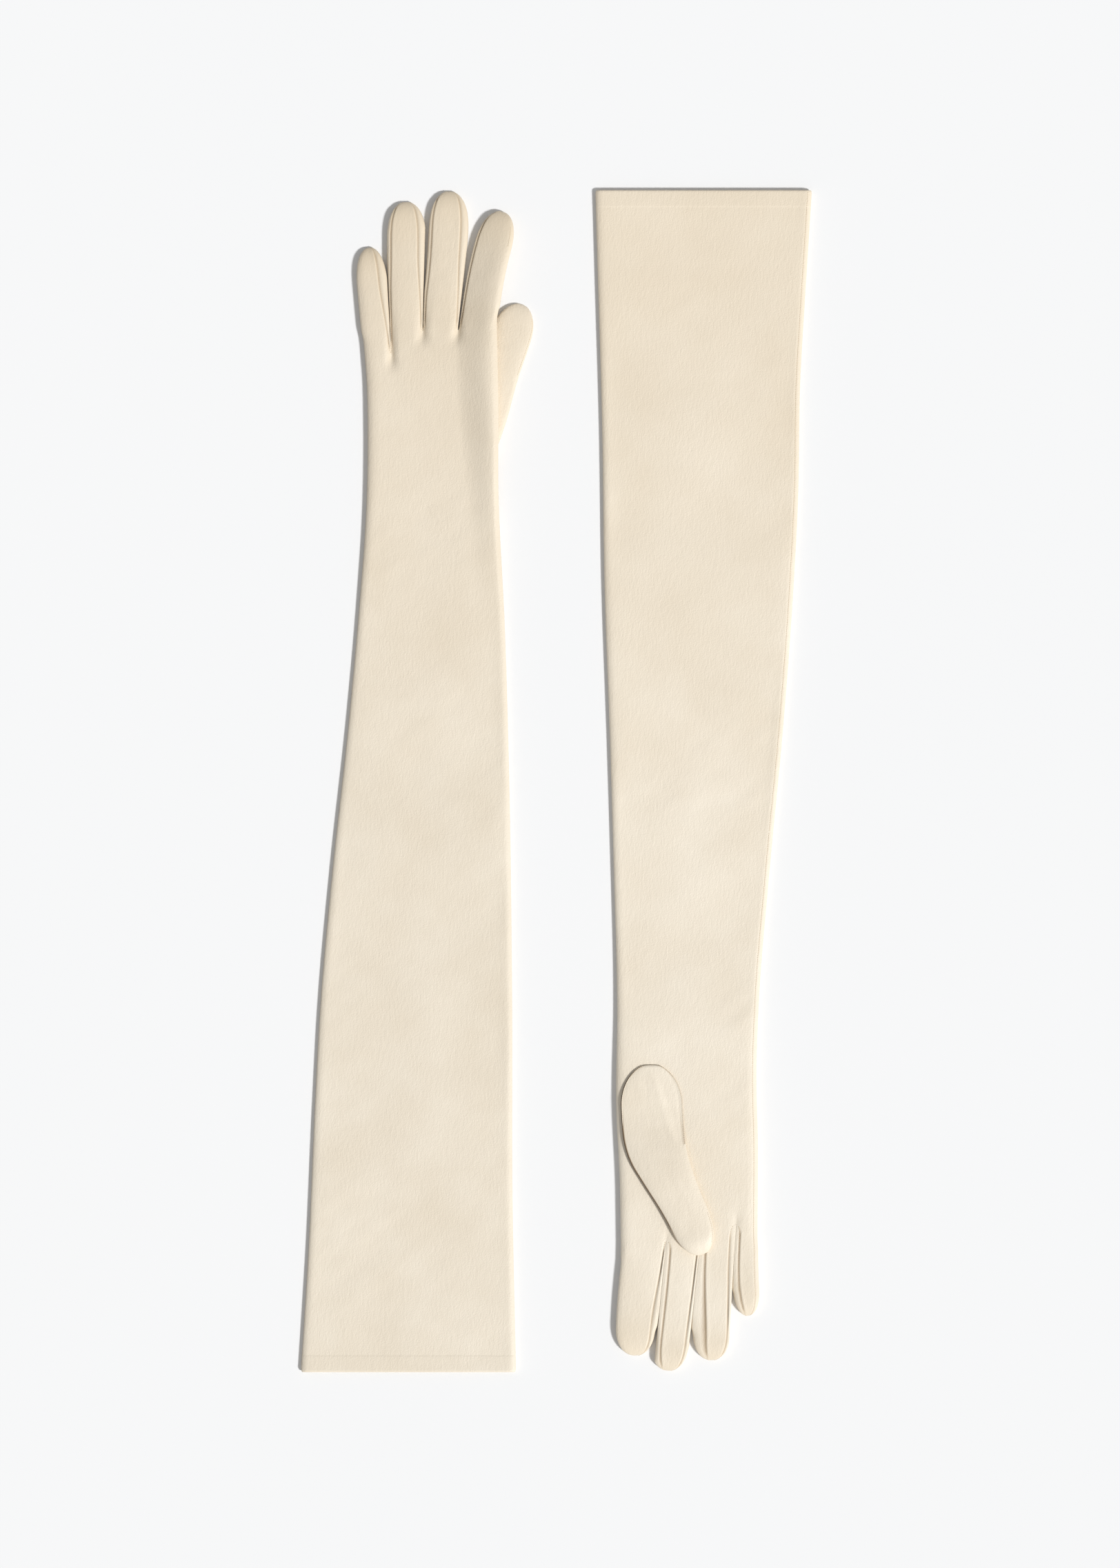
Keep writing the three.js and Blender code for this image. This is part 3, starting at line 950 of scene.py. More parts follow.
    def groove(
        self, ring: Array, columns: Sequence[int], strength: Array, shades: Sequence[float] = (1.0,)
    ) -> tuple[Array, Array]:
        """Draws the leather in along its seams.

        Args:
            ring: Points, rows by columns, closed: the last column equals the first.
            columns: The sewn columns.
            strength: One share for each row.
            shades: How dark each seam is; the callers raise it on the side away from the light, as painted
                shade.

        Returns:
            The changed points and the closeness to the seams, scaled by each seam's painted shade.
        """
        ahead = np.roll(ring[:, :-1], -1, axis=1) - np.roll(ring[:, :-1], 1, axis=1)
        along = np.gradient(ring[:, :-1], axis=0)
        normal = np.cross(along, ahead)
        normal /= np.maximum(np.linalg.norm(normal, axis=-1, keepdims=True), 1e-9)
        steps = np.linalg.norm(np.diff(ring, axis=1), axis=-1)
        total = steps.shape[1]
        push = np.zeros(ring[:, :-1].shape[:2])
        near = np.zeros_like(push)
        welt_height, welt_at, welt_width, dark_width, reach = 0.13, 1.1, 0.55, 0.42, 7
        groove_width = 0.6 * self.cut.seam_groove_reach
        # Each seam's darkness is scaled by its share of painted shade.
        for column, shade in zip(columns, shades):
            for way in (1, -1):
                distance = np.zeros(len(ring))
                at = column
                for step in range(reach):
                    welt = welt_height * np.exp(-(((distance - welt_at) / welt_width) ** 2))
                    depth = self.cut.seam_groove * np.exp(-((distance / groove_width) ** 2))
                    if not (step == 0 and way == -1):
                        push[:, at % total] += (welt - depth) * strength
                        line = shade * np.exp(-((distance / dark_width) ** 2)) * strength
                        near[:, at % total] = np.maximum(near[:, at % total], line)
                    move = at % total if way == 1 else (at - 1) % total
                    distance = distance + steps[:, move]
                    at += way
        moved = ring[:, :-1] + push[..., None] * normal
        return tuple(np.concatenate([grid, grid[:, :1]], axis=1) for grid in (moved, near))

    def build(self) -> Surface:
        """Builds the sleeve, the hand and the fingers as one welded surface.

        Returns:
            The glove's outer surface.
        """
        hand, rows = self.hand_ring(), self.arm_rows()
        fingers = [self.finger_ring(k, hand) for k in range(4)]
        seam_column = 4 * STRIP_COLUMNS
        if self.lay.side is Side.LEFT:
            seam_column += SIDE_COLUMNS // 2
        carved, near = self.groove(hand, [seam_column], self.cut.side_seam * smooth(rows, 9.0, 12.0))
        self.add_line(carved, seam_column, rows > 1.0, "side")
        last = carved[-1].copy()
        split = int(np.searchsorted(rows, PIECE_SPLIT))
        columns = carved.shape[1] - 1
        self.skin.add(carved[:split + 1], near[:split + 1], ["sleeve"] * columns)
        self.skin.add(carved[split:], near[split:], ["hand"] * columns)
        for k, (ring, t) in enumerate(fingers):
            self.add_finger(k, ring, t, last)
        return self.skin.weld()

    def add_finger(self, k: int, ring: Array, t: Array, last: Array) -> None:
        """Draws a finger's seams in and adds it to the skin.

        Args:
            k: Which finger, from the index.
            ring: Its points.
            t: Its rows' distances along it.
            last: The hand's last row.
        """
        n, m = STRIP_COLUMNS, SIDE_COLUMNS
        name, end = self.lay.fingers[k].name, self.lay.fingers[k].length
        sewn = self.seam_columns(k)
        gaps = [c for c, kind in sewn if kind != "side"]
        # Painted shade: seams on the side away from the light get a darker tint than those on the lit side.
        shaded = self.lay.side is Side.RIGHT
        shades = [SHADE_SIDE_SEAM_PAINT if (c in (0, 2 * n + m)) is shaded else LIT_SIDE_SEAM_PAINT for c in gaps]
        held = smooth(t, 1.0, 6.0) * (1.0 - smooth(t, end - 5.0, end - 1.0))
        moved, close = self.groove(ring, gaps, held, shades)
        for column, kind in sewn:
            if kind == "side":
                moved, more = self.groove(moved, [column], np.full(len(t), self.cut.side_seam))
                close = np.maximum(close, more)
        moved[0] = self.root_row(k, last)
        moved[-1] = moved[-1].mean(axis=0)
        close[0] = 0.0
        owners = [f"{name}_finger"] * (2 * n + 2 * m)
        if k < 3:
            owners[n:n + m] = [f"{name}_fourchette_little_side"] * m
        if k > 0:
            owners[2 * n + m:] = [f"{name}_fourchette_thumb_side"] * m
        self.skin.add(moved, close, owners)
        for column, _ in sewn:
            self.add_line(moved, column, (t > 0.6) & (t < end - 0.4), name)
        if k == 0 and self.lay.side is Side.LEFT:
            self.add_line(moved, 0, (t > end - 20.0) & (t < end - 7.0), name)

    def drop(self) -> Array:
        """The way down the end wall of a crotch, held high where the side strips lie spread.

        Returns:
            Shares from 0 at the upper seam to 1 at the lower one.
        """
        share = np.linspace(0.0, 1.0, SIDE_COLUMNS + 1)
        return share - 0.5 * self.lay.tuck * (1.0 - np.abs(2.0 * share - 1.0))

    def root_row(self, k: int, last: Array) -> Array:
        """The first row of a finger, taken from the hand's last row so that the two meet exactly.

        Args:
            k: Which finger, from the index.
            last: The hand's last row.

        Returns:
            Columns round the finger by 3.
        """
        n, m = STRIP_COLUMNS, SIDE_COLUMNS
        upper = last[k * n:(k + 1) * n + 1]
        lower = last[4 * n + m:8 * n + m + 1][::-1][k * n:(k + 1) * n + 1][::-1]
        if k < 3:
            little = mix(upper[-1][None], lower[0][None], self.drop()[:, None])
        else:
            little = last[4 * n:4 * n + m + 1]
        if k > 0:
            thumb = mix(upper[0][None], lower[-1][None], self.drop()[:, None])[::-1]
        else:
            thumb = last[8 * n + m:]
        return np.concatenate([upper, little[1:], lower[1:], thumb[1:]])

    def add_line(self, ring: Array, column: int, keep: Array, part: str) -> None:
        """Notes a sewn line that follows one column of a ring.

        Args:
            ring: Points, rows by columns, closed.
            column: The sewn column.
            keep: Which rows the line takes.
            part: The body of stitches it belongs to.
        """
        ahead = ring[:, (column + 1) % (ring.shape[1] - 1)] - ring[:, (column - 1) % (ring.shape[1] - 1)]
        normal = np.cross(np.gradient(ring[:, column], axis=0), ahead)
        normal /= np.maximum(np.linalg.norm(normal, axis=-1, keepdims=True), 1e-9)
        self.lines.append(SeamLine(ring[keep, column], normal[keep], part))


class ThumbShape:
    """Works out the thumb's surface, from the seam round its oval to its tip."""

    sides = 10
    strip_columns = 22
    rows = 96
    strip = 0.8
    section_power = 2.6
    foot_length = 52.0

    def __init__(self, lay: GloveLay, cut: Leather, hand: Surface) -> None:
        """Keeps what the thumb's shape depends on.

        Args:
            lay: How the glove lies.
            cut: The leather's sizes.
            hand: The surface that the thumb may lie on.
        """
        self.lay, self.cut, self.hand = lay, cut, hand
        self.noise = Noise(lay.seed + 40)

    def path(self, t: Array) -> tuple[Array, Array, Array, float]:
        """The thumb's middle line.

        Args:
            t: Shares of its length.

        Returns:
            Points, sideways unit vectors and half widths at those shares, and the full length.
        """
        knots = line = np.array(self.lay.thumb.line, float)
        for _ in range(3):
            cut = np.empty((2 * len(line) - 2, 2))
            cut[0::2] = 0.75 * line[:-1] + 0.25 * line[1:]
            cut[1::2] = 0.25 * line[:-1] + 0.75 * line[1:]
            line = np.concatenate([line[:1], cut, line[-1:]])
        lengths, marks = (
            np.concatenate([[0.0], np.cumsum(np.linalg.norm(np.diff(run, axis=0), axis=1))])
            for run in (line, knots)
        )
        whole = float(lengths[-1])
        marks *= whole / marks[-1]
        s = t * whole
        centre = np.stack([np.interp(s, lengths, line[:, i]) for i in (0, 1)], -1)
        way = np.gradient(centre, axis=0)
        way /= np.linalg.norm(way, axis=1, keepdims=True)
        half = Outline(tuple(zip(marks, self.lay.thumb.half_widths))).at(s)
        foot_round, least_width, end = 24.0, 6.0, self.lay.thumb.tip_round
        foot = np.sqrt(np.clip(1.0 - (1.0 - np.clip(s / foot_round, 0.0, 1.0)) ** 2.1, 0.0, 1.0))
        tip = np.sqrt(np.clip(1.0 - np.clip((s - (whole - end)) / end, 0.0, 1.0) ** 2.3, 0.0, 1.0))
        sideways = np.stack([way[:, 1], -way[:, 0]], -1)
        return centre, sideways, np.maximum(half, least_width) * foot * tip, whole

    def floor(self, centre: Array) -> Array:
        """Height of what the thumb lies on: the palm, or the table.

        Args:
            centre: Points of its middle line.

        Returns:
            One height for each point.
        """
        if self.lay.thumb_place is Thumb.BENEATH:
            above_table = 0.05
            return np.full(len(centre), above_table)
        palm = self.cut.thumb_gap + self.hand.height_at(centre[:, 0], centre[:, 1])
        window = 9
        return np.convolve(np.pad(palm, window // 2, mode="edge"), np.ones(window) / window, mode="valid")

    def build(self) -> tuple[Surface, list[SeamLine]]:
        """Builds the thumb.

        Returns:
            Its outer surface and its sewn lines.
        """
        on_top = self.lay.thumb_place is Thumb.ON_TOP
        even = np.linspace(0.0, 1.0, self.rows)
        t = mix(0.5 - 0.5 * np.cos(np.pi * even), even, 0.45)
        centre, sideways, width, whole = self.path(t)
        s = t * whole
        n, m, power = self.strip_columns, self.sides, self.section_power
        nose = np.clip((s - (whole - 12.0)) / 12.0, 0.0, 1.0)
        flat_foot = mix(0.3 if on_top else 1.0, 1.0, smooth(s, 24.0, 74.0))
        half = 0.5 * self.lay.thumb.height * flat_foot * np.sqrt(np.clip(1.0 - nose**2.6, 0.0, 1.0))
        half = np.maximum(half * np.sqrt(np.clip(s / 1.2, 0.0, 1.0)), 0.0)
        slope = (1.0 - smooth(s, 42.0, 56.0)) * smooth(s, 3.0, 14.0) * (1.0 if on_top else 0.0)
        x = mix(1.0, -1.0, np.linspace(0.0, 1.0, n + 1))[None, :] * self.strip
        bulge = (1.0 - np.abs(x) ** power) ** (1 / power)
        fold_at = -0.02 - 0.66 * np.clip(s / self.foot_length, 0.0, 1.0)[:, None]
        fold = 0.22 * np.exp(-(((x - fold_at) / 0.11) ** 2))
        falling = 1.0 - 0.55 * smooth(fold_at - x, 0.0, 0.26) + fold
        upper_up = half[:, None] * bulge * mix(np.ones_like(falling), falling, slope[:, None])
        x = np.broadcast_to(x, upper_up.shape)
        middle = self.floor(centre) + half

        def place(across: Array, z: Array) -> Array:
            """Turns places in the thumb's own frame into points of the glove.

            Args:
                across: Shares of the half width, towards the thumb side.
                z: Heights about the middle.

            Returns:
                Rows by columns by 3 points.
            """
            flat = centre[:, None, :] + (across * width[:, None])[..., None] * sideways[:, None, :]
            return np.concatenate([flat, (middle[:, None] + z)[..., None]], -1)

        upper, lower = place(x, upper_up), place(x, -half[:, None] * bulge)
        quiet = (1.0 - nose)[:, None] * smooth(s, 2.0, 10.0)[:, None] * (1.0 - np.abs(x) ** 4)
        along, across = upper[..., 1], upper[..., 0]
        soft, fine = self.noise.at(across, along, 21.0), self.noise.at(across * 1.7 + along, along, 6.0)
        upper[..., 2] += quiet * (0.32 * soft + 0.1 * fine)
        around = []
        for sign in (-1.0, 1.0):
            out, up = side_arc(np.full(len(t), self.strip), np.ones(len(t)), half, m, power)
            low = mix(1.0, 0.45, slope)[:, None] if sign < 0 else 1.0
            side = place(sign * out, np.where(up > 0, up * low, up))
            edge = 0 if sign > 0 else -1
            side[:, 0], side[:, -1] = upper[:, edge], lower[:, edge]
            around.append(side)
        ring = np.concatenate(
            [upper, around[0][:, 1:], lower[:, ::-1][:, 1:], around[1][:, ::-1][:, 1:]], axis=1
        )
        ring[0], ring[-1] = ring[0].mean(axis=0), ring[-1].mean(axis=0)
        skin = Skin()
        skin.add(ring, self.darkness(ring, s, whole), ["thumb"] * (ring.shape[1] - 1))
        return skin.weld(), self.lines(ring, s, whole)

    def darkness(self, ring: Array, s: Array, whole: float) -> Array:
        """How dark the thumb's seams are, with painted shadow along its outline at the thumb side, where its
        edge meets the palm.

        Args:
            ring: The thumb's points, rows by columns by 3.
            s: The rows' distances along the thumb.
            whole: The thumb's length.

        Returns:
            Rows by columns.
        """
        n, m = self.strip_columns, self.sides
        near = np.zeros(ring.shape[:2])
        if self.lay.thumb_place is Thumb.ON_TOP:
            near[:, n + m // 2 - 3:n + m // 2 + 1] = 0.5 * (s < self.foot_length)[:, None]
            outline = 2 * n + m + m // 2
            held = smooth(s, 1.0, 5.0) * (1.0 - smooth(s, whole - 26.0, whole - 10.0))
            # Painted shadow over the closing seam: a dark band along the thumb-side outline, where the edge
            # meets the palm.
            near[:, outline - 2:outline + 2] = 1.6 * held[:, None]
            near[:, outline + 2] = 1.35 * held
        return near

    def lines(self, ring: Array, s: Array, whole: float) -> list[SeamLine]:
        """The thumb's sewn lines: round its oval and along its own closing seam.

        Args:
            ring: The thumb's points, rows by columns by 3.
            s: The rows' distances along the thumb.
            whole: The thumb's length.

        Returns:
            The lines, with their ways out pointing up.
        """
        n, m = self.strip_columns, self.sides
        if self.lay.thumb_place is Thumb.ON_TOP:
            runs = [
                ("oval", n + m // 2 - 2, (s < self.foot_length) & (s > 1.0), 0.12),
                ("oval", 2 * n + m + m // 2 + 2, (s > 1.0) & (s < 30.0), 0.0),
                ("thumb", n + 2, (s > whole - 22.0) & (s < whole - 5.0), 0.0),
            ]
        else:
            runs = [("thumb", 2 * n + 2 * m - 2, (s > whole - 40.0) & (s < whole - 6.0), 0.0)]
        up = np.array([0.0, 0.0, 1.0])
        return [
            SeamLine(ring[keep, column] + raised * up, np.tile(up, (int(keep.sum()), 1)), part)
            for part, column, keep, raised in runs
        ]


# ---- turning surfaces into pieces ----------------------------------------------------------------------


@dataclass(frozen=True)
class Placing:
    """Where a glove's own coordinates lie on the table, in metres."""

    side: Side
    spacing: float = 46.0
    half_length: float = 340.5

    def points(self, local: Array) -> Array:
        """Places points.

        Args:
            local: Points in the glove's own coordinates, in millimetres.

        Returns:
            Points on the table, in metres.
        """
        sign = 1.0 if self.side is Side.LEFT else -1.0
        start = np.array([-sign * self.spacing / 2, -sign * self.half_length, 0.0])
        return (local * np.array([sign, sign, 1.0]) + start) * MM

    def directions(self, local: Array) -> Array:
        """Turns directions."""
        sign = 1.0 if self.side is Side.LEFT else -1.0
        return local * np.array([sign, sign, 1.0])


def thick_faces(quads: Array, count: int) -> tuple[list[tuple[int, ...]], int]:
    """Faces of a piece of leather: outer, inner, and the cut edge between them.

    Args:
        quads: Four outer points for each face, some of them the same point at a tip.
        count: Number of outer points; the inner ones follow in the same order.

    Returns:
        The faces, and where those of the cut edge begin.
    """
    outer: list[tuple[int, ...]] = []
    edges: dict[tuple[int, int], None] = {}
    for quad in quads.tolist():
        face = tuple(v for i, v in enumerate(quad) if v != quad[i - 1])
        if len(set(face)) < 3:
            continue
        outer.append(face)
        edges.update({(v, face[(i + 1) % len(face)]): None for i, v in enumerate(face)})
    inner = [tuple(v + count for v in reversed(face)) for face in outer]
    rim = [(b, a, a + count, b + count) for a, b in edges if (b, a) not in edges]
    return outer + inner + rim, 2 * len(outer)


def leather_mesh(
    name: str, surface: Surface, owner: str, placing: Placing, cut: Leather
) -> bpy.types.Object:
    """Gives one piece of a surface its thickness, with cut edges, and makes it an object.

    Args:
        name: The piece's name.
        surface: The whole outer surface.
        owner: Which of the surface's pieces to take.
        placing: Where the glove lies.
        cut: The leather's sizes.

    Returns:
        The new object, at the origin.
    """
    quads = surface.quads[surface.owners == surface.names.index(owner)]
    used, flat = np.unique(quads, return_inverse=True)
    outer, normals = surface.points[used], surface.normals[used]
    thick = np.full(len(outer), cut.thickness)
    if owner == "sleeve":
        turned_layer = 0.5
        thick += turned_layer * (1.0 - smooth(outer[:, 1], cut.hem_depth - 0.1, cut.hem_depth + 0.2))
    outer[:, 2] = np.maximum(outer[:, 2], 0.0)
    inner = outer - normals * thick[:, None]
    count = len(outer)
    faces, rim_start = thick_faces(flat.reshape(quads.shape), count)
    mesh = bpy.data.meshes.new(name)
    points = placing.points(np.concatenate([outer, inner]))
    mesh.from_pydata(points.tolist(), [], faces)
    mesh.polygons.foreach_set("use_smooth", [True] * len(faces))
    loops, starts = np.zeros(len(mesh.loops), np.int32), np.zeros(len(faces), np.int32)
    flat_normals = np.zeros(len(faces) * 3)
    mesh.loops.foreach_get("vertex_index", loops)
    mesh.polygons.foreach_get("loop_start", starts)
    mesh.polygons.foreach_get("normal", flat_normals)
    custom = placing.directions(np.concatenate([normals, -normals]))[loops]
    if rim_start < len(faces):
        custom[starts[rim_start]:] = np.repeat(flat_normals.reshape(-1, 3)[rim_start:], 4, axis=0)
    mesh.normals_split_custom_set(custom.tolist())
    hem = 1.0 - smooth(outer[:, 1], cut.hem_depth - 0.4, cut.hem_depth + 0.4)
    tip = outer[:, 1].max()
    worn = smooth(outer[:, 1], tip - 34.0, tip - 2.0)
    at_hem, on_finger = owner == "sleeve", "finger" in owner or "fourchette" in owner
    # The "seam" attribute carries the seams' darkness together with painted shade.
    for key, values in (
        ("seam", np.concatenate([surface.seams[used], np.zeros(count)])),
        ("hem", np.tile(hem, 2) * at_hem),
        ("worn", np.tile(worn, 2) * on_finger),
    ):
        mesh.attributes.new(key, "FLOAT", "POINT").data.foreach_set("value", values.astype(np.float32))
    rest = mesh.attributes.new("lay", "FLOAT_VECTOR", "POINT")
    rest.data.foreach_set("vector", points.astype(np.float32).ravel())
    piece = bpy.data.objects.new(name, mesh)
    bpy.context.scene.collection.objects.link(piece)
    return piece


# ---- materials ------------------------------------------------------------------------------------------


class Signal:
    """A shader value that can be written in sums and products."""

    def __init__(self, paint: "Paint", socket: Any) -> None:
        """Wraps a socket, or keeps a plain number."""
        self.paint, self.socket = paint, socket

    def _math(self, operation: str, first: Any, second: Any) -> "Signal":
        """Adds one Math node."""
        return self.paint.node("ShaderNodeMath", {"operation": operation}, {0: first, 1: second})[0]

    def __add__(self, other: Any) -> "Signal":
        """Sum."""
        return self._math("ADD", self, other)

    __radd__ = __add__

    def __sub__(self, other: Any) -> "Signal":
        """Difference."""
        return self._math("SUBTRACT", self, other)

    def __rsub__(self, other: Any) -> "Signal":
        """Reflected difference."""
        return self._math("SUBTRACT", other, self)

    def __mul__(self, other: Any) -> "Signal":
        """Product."""
        return self._math("MULTIPLY", self, other)

    __rmul__ = __mul__


class Paint:
    """A material being written, node by node."""

    def __init__(self, name: str) -> None:
        """Starts an empty material with one output."""
        self.material = bpy.data.materials.new(name)
        self.material.use_nodes = True
        self.tree = self.material.node_tree
        self.tree.nodes.clear()

    def node(self, kind: str, settings: dict[str, Any], inputs: dict[Any, Any]) -> list[Signal]:
        """Adds a node.

        Args:
            kind: The node's type.
            settings: Attributes set before anything else.
            inputs: Values or signals by input name or number.

        Returns:
            The node's outputs.
        """
        made = self.tree.nodes.new(kind)
        for key, value in settings.items():
            setattr(made, key, value)
        for key, value in inputs.items():
            if isinstance(value, Signal):
                self.tree.links.new(value.socket, made.inputs[key])
            else:
                made.inputs[key].default_value = value
        return [Signal(self, out) for out in made.outputs]

    def attribute(self, name: str) -> list[Signal]:
        """Reads a piece's own attribute."""
        return self.node("ShaderNodeAttribute", {"attribute_name": name}, {})

    def noise(self, place: Signal, scale: float, detail: float = 2.0, roughness: float = 0.5) -> Signal:
        """Noise from 0 to 1, with `scale` features in a metre."""
        inputs = {"Vector": place, "Scale": scale, "Detail": detail, "Roughness": roughness}
        return self.node("ShaderNodeTexNoise", {}, inputs)[0]

    def blend(self, factor: Any, first: Any, second: Any) -> Signal:
        """Mixes two colours."""
        return self.node("ShaderNodeMix", {"data_type": "RGBA"}, {0: factor, 6: first, 7: second})[2]

    def stretched(self, place: Signal, turn: float, scale: tuple[float, float, float]) -> Signal:
        """Turns a pattern about the vertical and stretches it."""
        inputs = {"Vector": place, "Rotation": (0.0, 0.0, turn), "Scale": scale}
        return self.node("ShaderNodeMapping", {"vector_type": "POINT"}, inputs)[0]


def tone(red: float, green: float, blue: float) -> tuple[float, float, float, float]:
    """Screen colour as the shader's own colour.

    Args:
        red: From 0 to 255.
        green: From 0 to 255.
        blue: From 0 to 255.

    Returns:
        Linear red, green, blue and 1.
    """
    linear = lambda c: ((c / 255.0 + 0.055) / 1.055) ** 2.4
    return (linear(red), linear(green), linear(blue), 1.0)


@dataclass(frozen=True)
class LeatherFinish:
    """Soft ivory glove leather with a fine pebble grain.

    Attributes:
        name: The material's name.
        light: Its lightest tone, as a screen colour.
        deep: The tone of its darker clouds.
        warm: The tone it passes into towards +Y on the table, the same way for both gloves.
        crease_turn: The way its creases run, in radians.
        roughness: How matt it is.
    """

    name: str
    light: tuple[int, int, int]
    deep: tuple[int, int, int]
    warm: tuple[int, int, int]
    crease_turn: float
    roughness: float = 0.5
    # Dark seams, darker still as painted shade where a seam lies away from the light.
    seam_tone = (158, 131, 96)
    # Painted shade: the darkest brown, on seams away from the light and along the right thumb's outline.
    painted_shade_tone = (92, 70, 44)
    worn_tone = (216, 196, 164)

    def make(self) -> bpy.types.Material:
        """Writes the material.

        Returns:
            The finished material.
        """
        p = Paint(self.name)
        place = p.attribute("lay")[1]
        height, coarse = self.grain(p, place)
        bump = p.node("ShaderNodeBump", {}, {"Strength": 1.0, "Distance": 0.00021, "Height": height})[0]
        shader = p.node("ShaderNodeBsdfPrincipled", {}, {
            "Base Color": self.tint(p, place),
            "Roughness": self.roughness + (coarse - 0.5) * 0.12,
            "IOR": 1.45,
            "Sheen Weight": 0.12,
            "Sheen Roughness": 0.4,
            "Normal": bump,
        })[0]
        p.node("ShaderNodeOutputMaterial", {}, {"Surface": shader})
        return p.material

    def grain(self, p: Paint, place: Signal) -> tuple[Signal, Signal]:
        """Pebbles, with creases that run two ways by turns.

        Args:
            p: The material being written.
            place: Places on the leather.

        Returns:
            The height of the grain, and its coarse noise.
        """
        pebbles = p.node("ShaderNodeTexVoronoi", {"feature": "F1"}, {
            "Vector": place, "Scale": 1350.0, "Randomness": 1.0})[0]
        coarse = p.noise(place, 1050.0, 2.0, 0.6)
        creases = p.noise(p.stretched(place, self.crease_turn, (1.0, 0.3, 1.0)), 720.0, 2.0, 0.6)
        crossing = p.noise(p.stretched(place, self.crease_turn + 1.9, (1.0, 0.36, 1.0)), 560.0, 2.0, 0.55)
        where = p.noise(place, 26.0, 1.0, 0.5)
        height = (1.0 - pebbles) * 0.32 + coarse * 0.25
        return height + creases * where * 1.2 + crossing * (1.0 - where) * 0.9, coarse

    def tint(self, p: Paint, place: Signal) -> Signal:
        """Clouds of tone, with the hem, the seams and the fingertips darker, and painted shade on the seams
        that lie away from the light and along the right thumb's outline.

        Args:
            p: The material being written.
            place: Places on the leather.

        Returns:
            The colour.
        """
        seam, hem, worn = (p.attribute(name)[2] for name in ("seam", "hem", "worn"))
        far = p.node("ShaderNodeSeparateXYZ", {}, {0: place})[1]
        clouds, spots = p.noise(place, 17.0, 3.0, 0.55), p.noise(place, 95.0, 2.0, 0.5)
        spot_tone, hem_tone = (tone(*(c - darker for c in self.deep)) for darker in (14, 12))
        tint = p.blend(clouds * 1.5 - 0.25, tone(*self.deep), tone(*self.light))
        tint = p.blend((spots - 0.35) * 0.22, tint, spot_tone)
        # Warmer and darker towards +Y on the table, the same way for both gloves.
        tint = p.blend(far + 0.04, tint, tone(*self.warm))
        tint = p.blend(hem * 0.07, tint, hem_tone)
        # Dark seams, with painted shade added on the side away from the light.
        tint = p.blend(seam * 0.62, tint, tone(*self.seam_tone))
        # Painted shade: seam values above 1 pass into a dark brown.
        tint = p.blend((seam - 1.0) * 1.7, tint, tone(*self.painted_shade_tone))
        return p.blend(worn * 0.3, tint, tone(*self.worn_tone))


@dataclass(frozen=True)
class ThreadFinish:
    """Fine matching sewing thread."""

    name: str = "sewing_thread"

    def make(self) -> bpy.types.Material:
        """Writes the material.

        Returns:
            The finished material.
        """
        p = Paint(self.name)
        place = p.node("ShaderNodeTexCoord", {}, {})[3]
        wear = p.noise(place, 420.0, 1.0)
        tint = p.blend(wear, tone(214, 196, 166), tone(232, 216, 190))
        shader = p.node("ShaderNodeBsdfPrincipled", {}, {"Base Color": tint, "Roughness": 0.62})[0]
        p.node("ShaderNodeOutputMaterial", {}, {"Surface": shader})
        return p.material


@dataclass(frozen=True)
class TableFinish:
    """Plain white table."""

    name: str = "table_white"

    def make(self) -> bpy.types.Material:
        """Writes the material.

        Returns:
            The finished material.
        """
        p = Paint(self.name)
        place = p.node("ShaderNodeTexCoord", {}, {})[3]
        haze = p.noise(place, 2.0, 1.0)
        tint = p.blend(haze, (0.895, 0.897, 0.9, 1.0), (0.905, 0.907, 0.91, 1.0))
        shader = p.node("ShaderNodeBsdfPrincipled", {}, {
            "Base Color": tint, "Roughness": 0.9, "Specular IOR Level": 0.0})[0]
        p.node("ShaderNodeOutputMaterial", {}, {"Surface": shader})
        return p.material


# ---- stitching --------------------------------------------------------------------------------------------


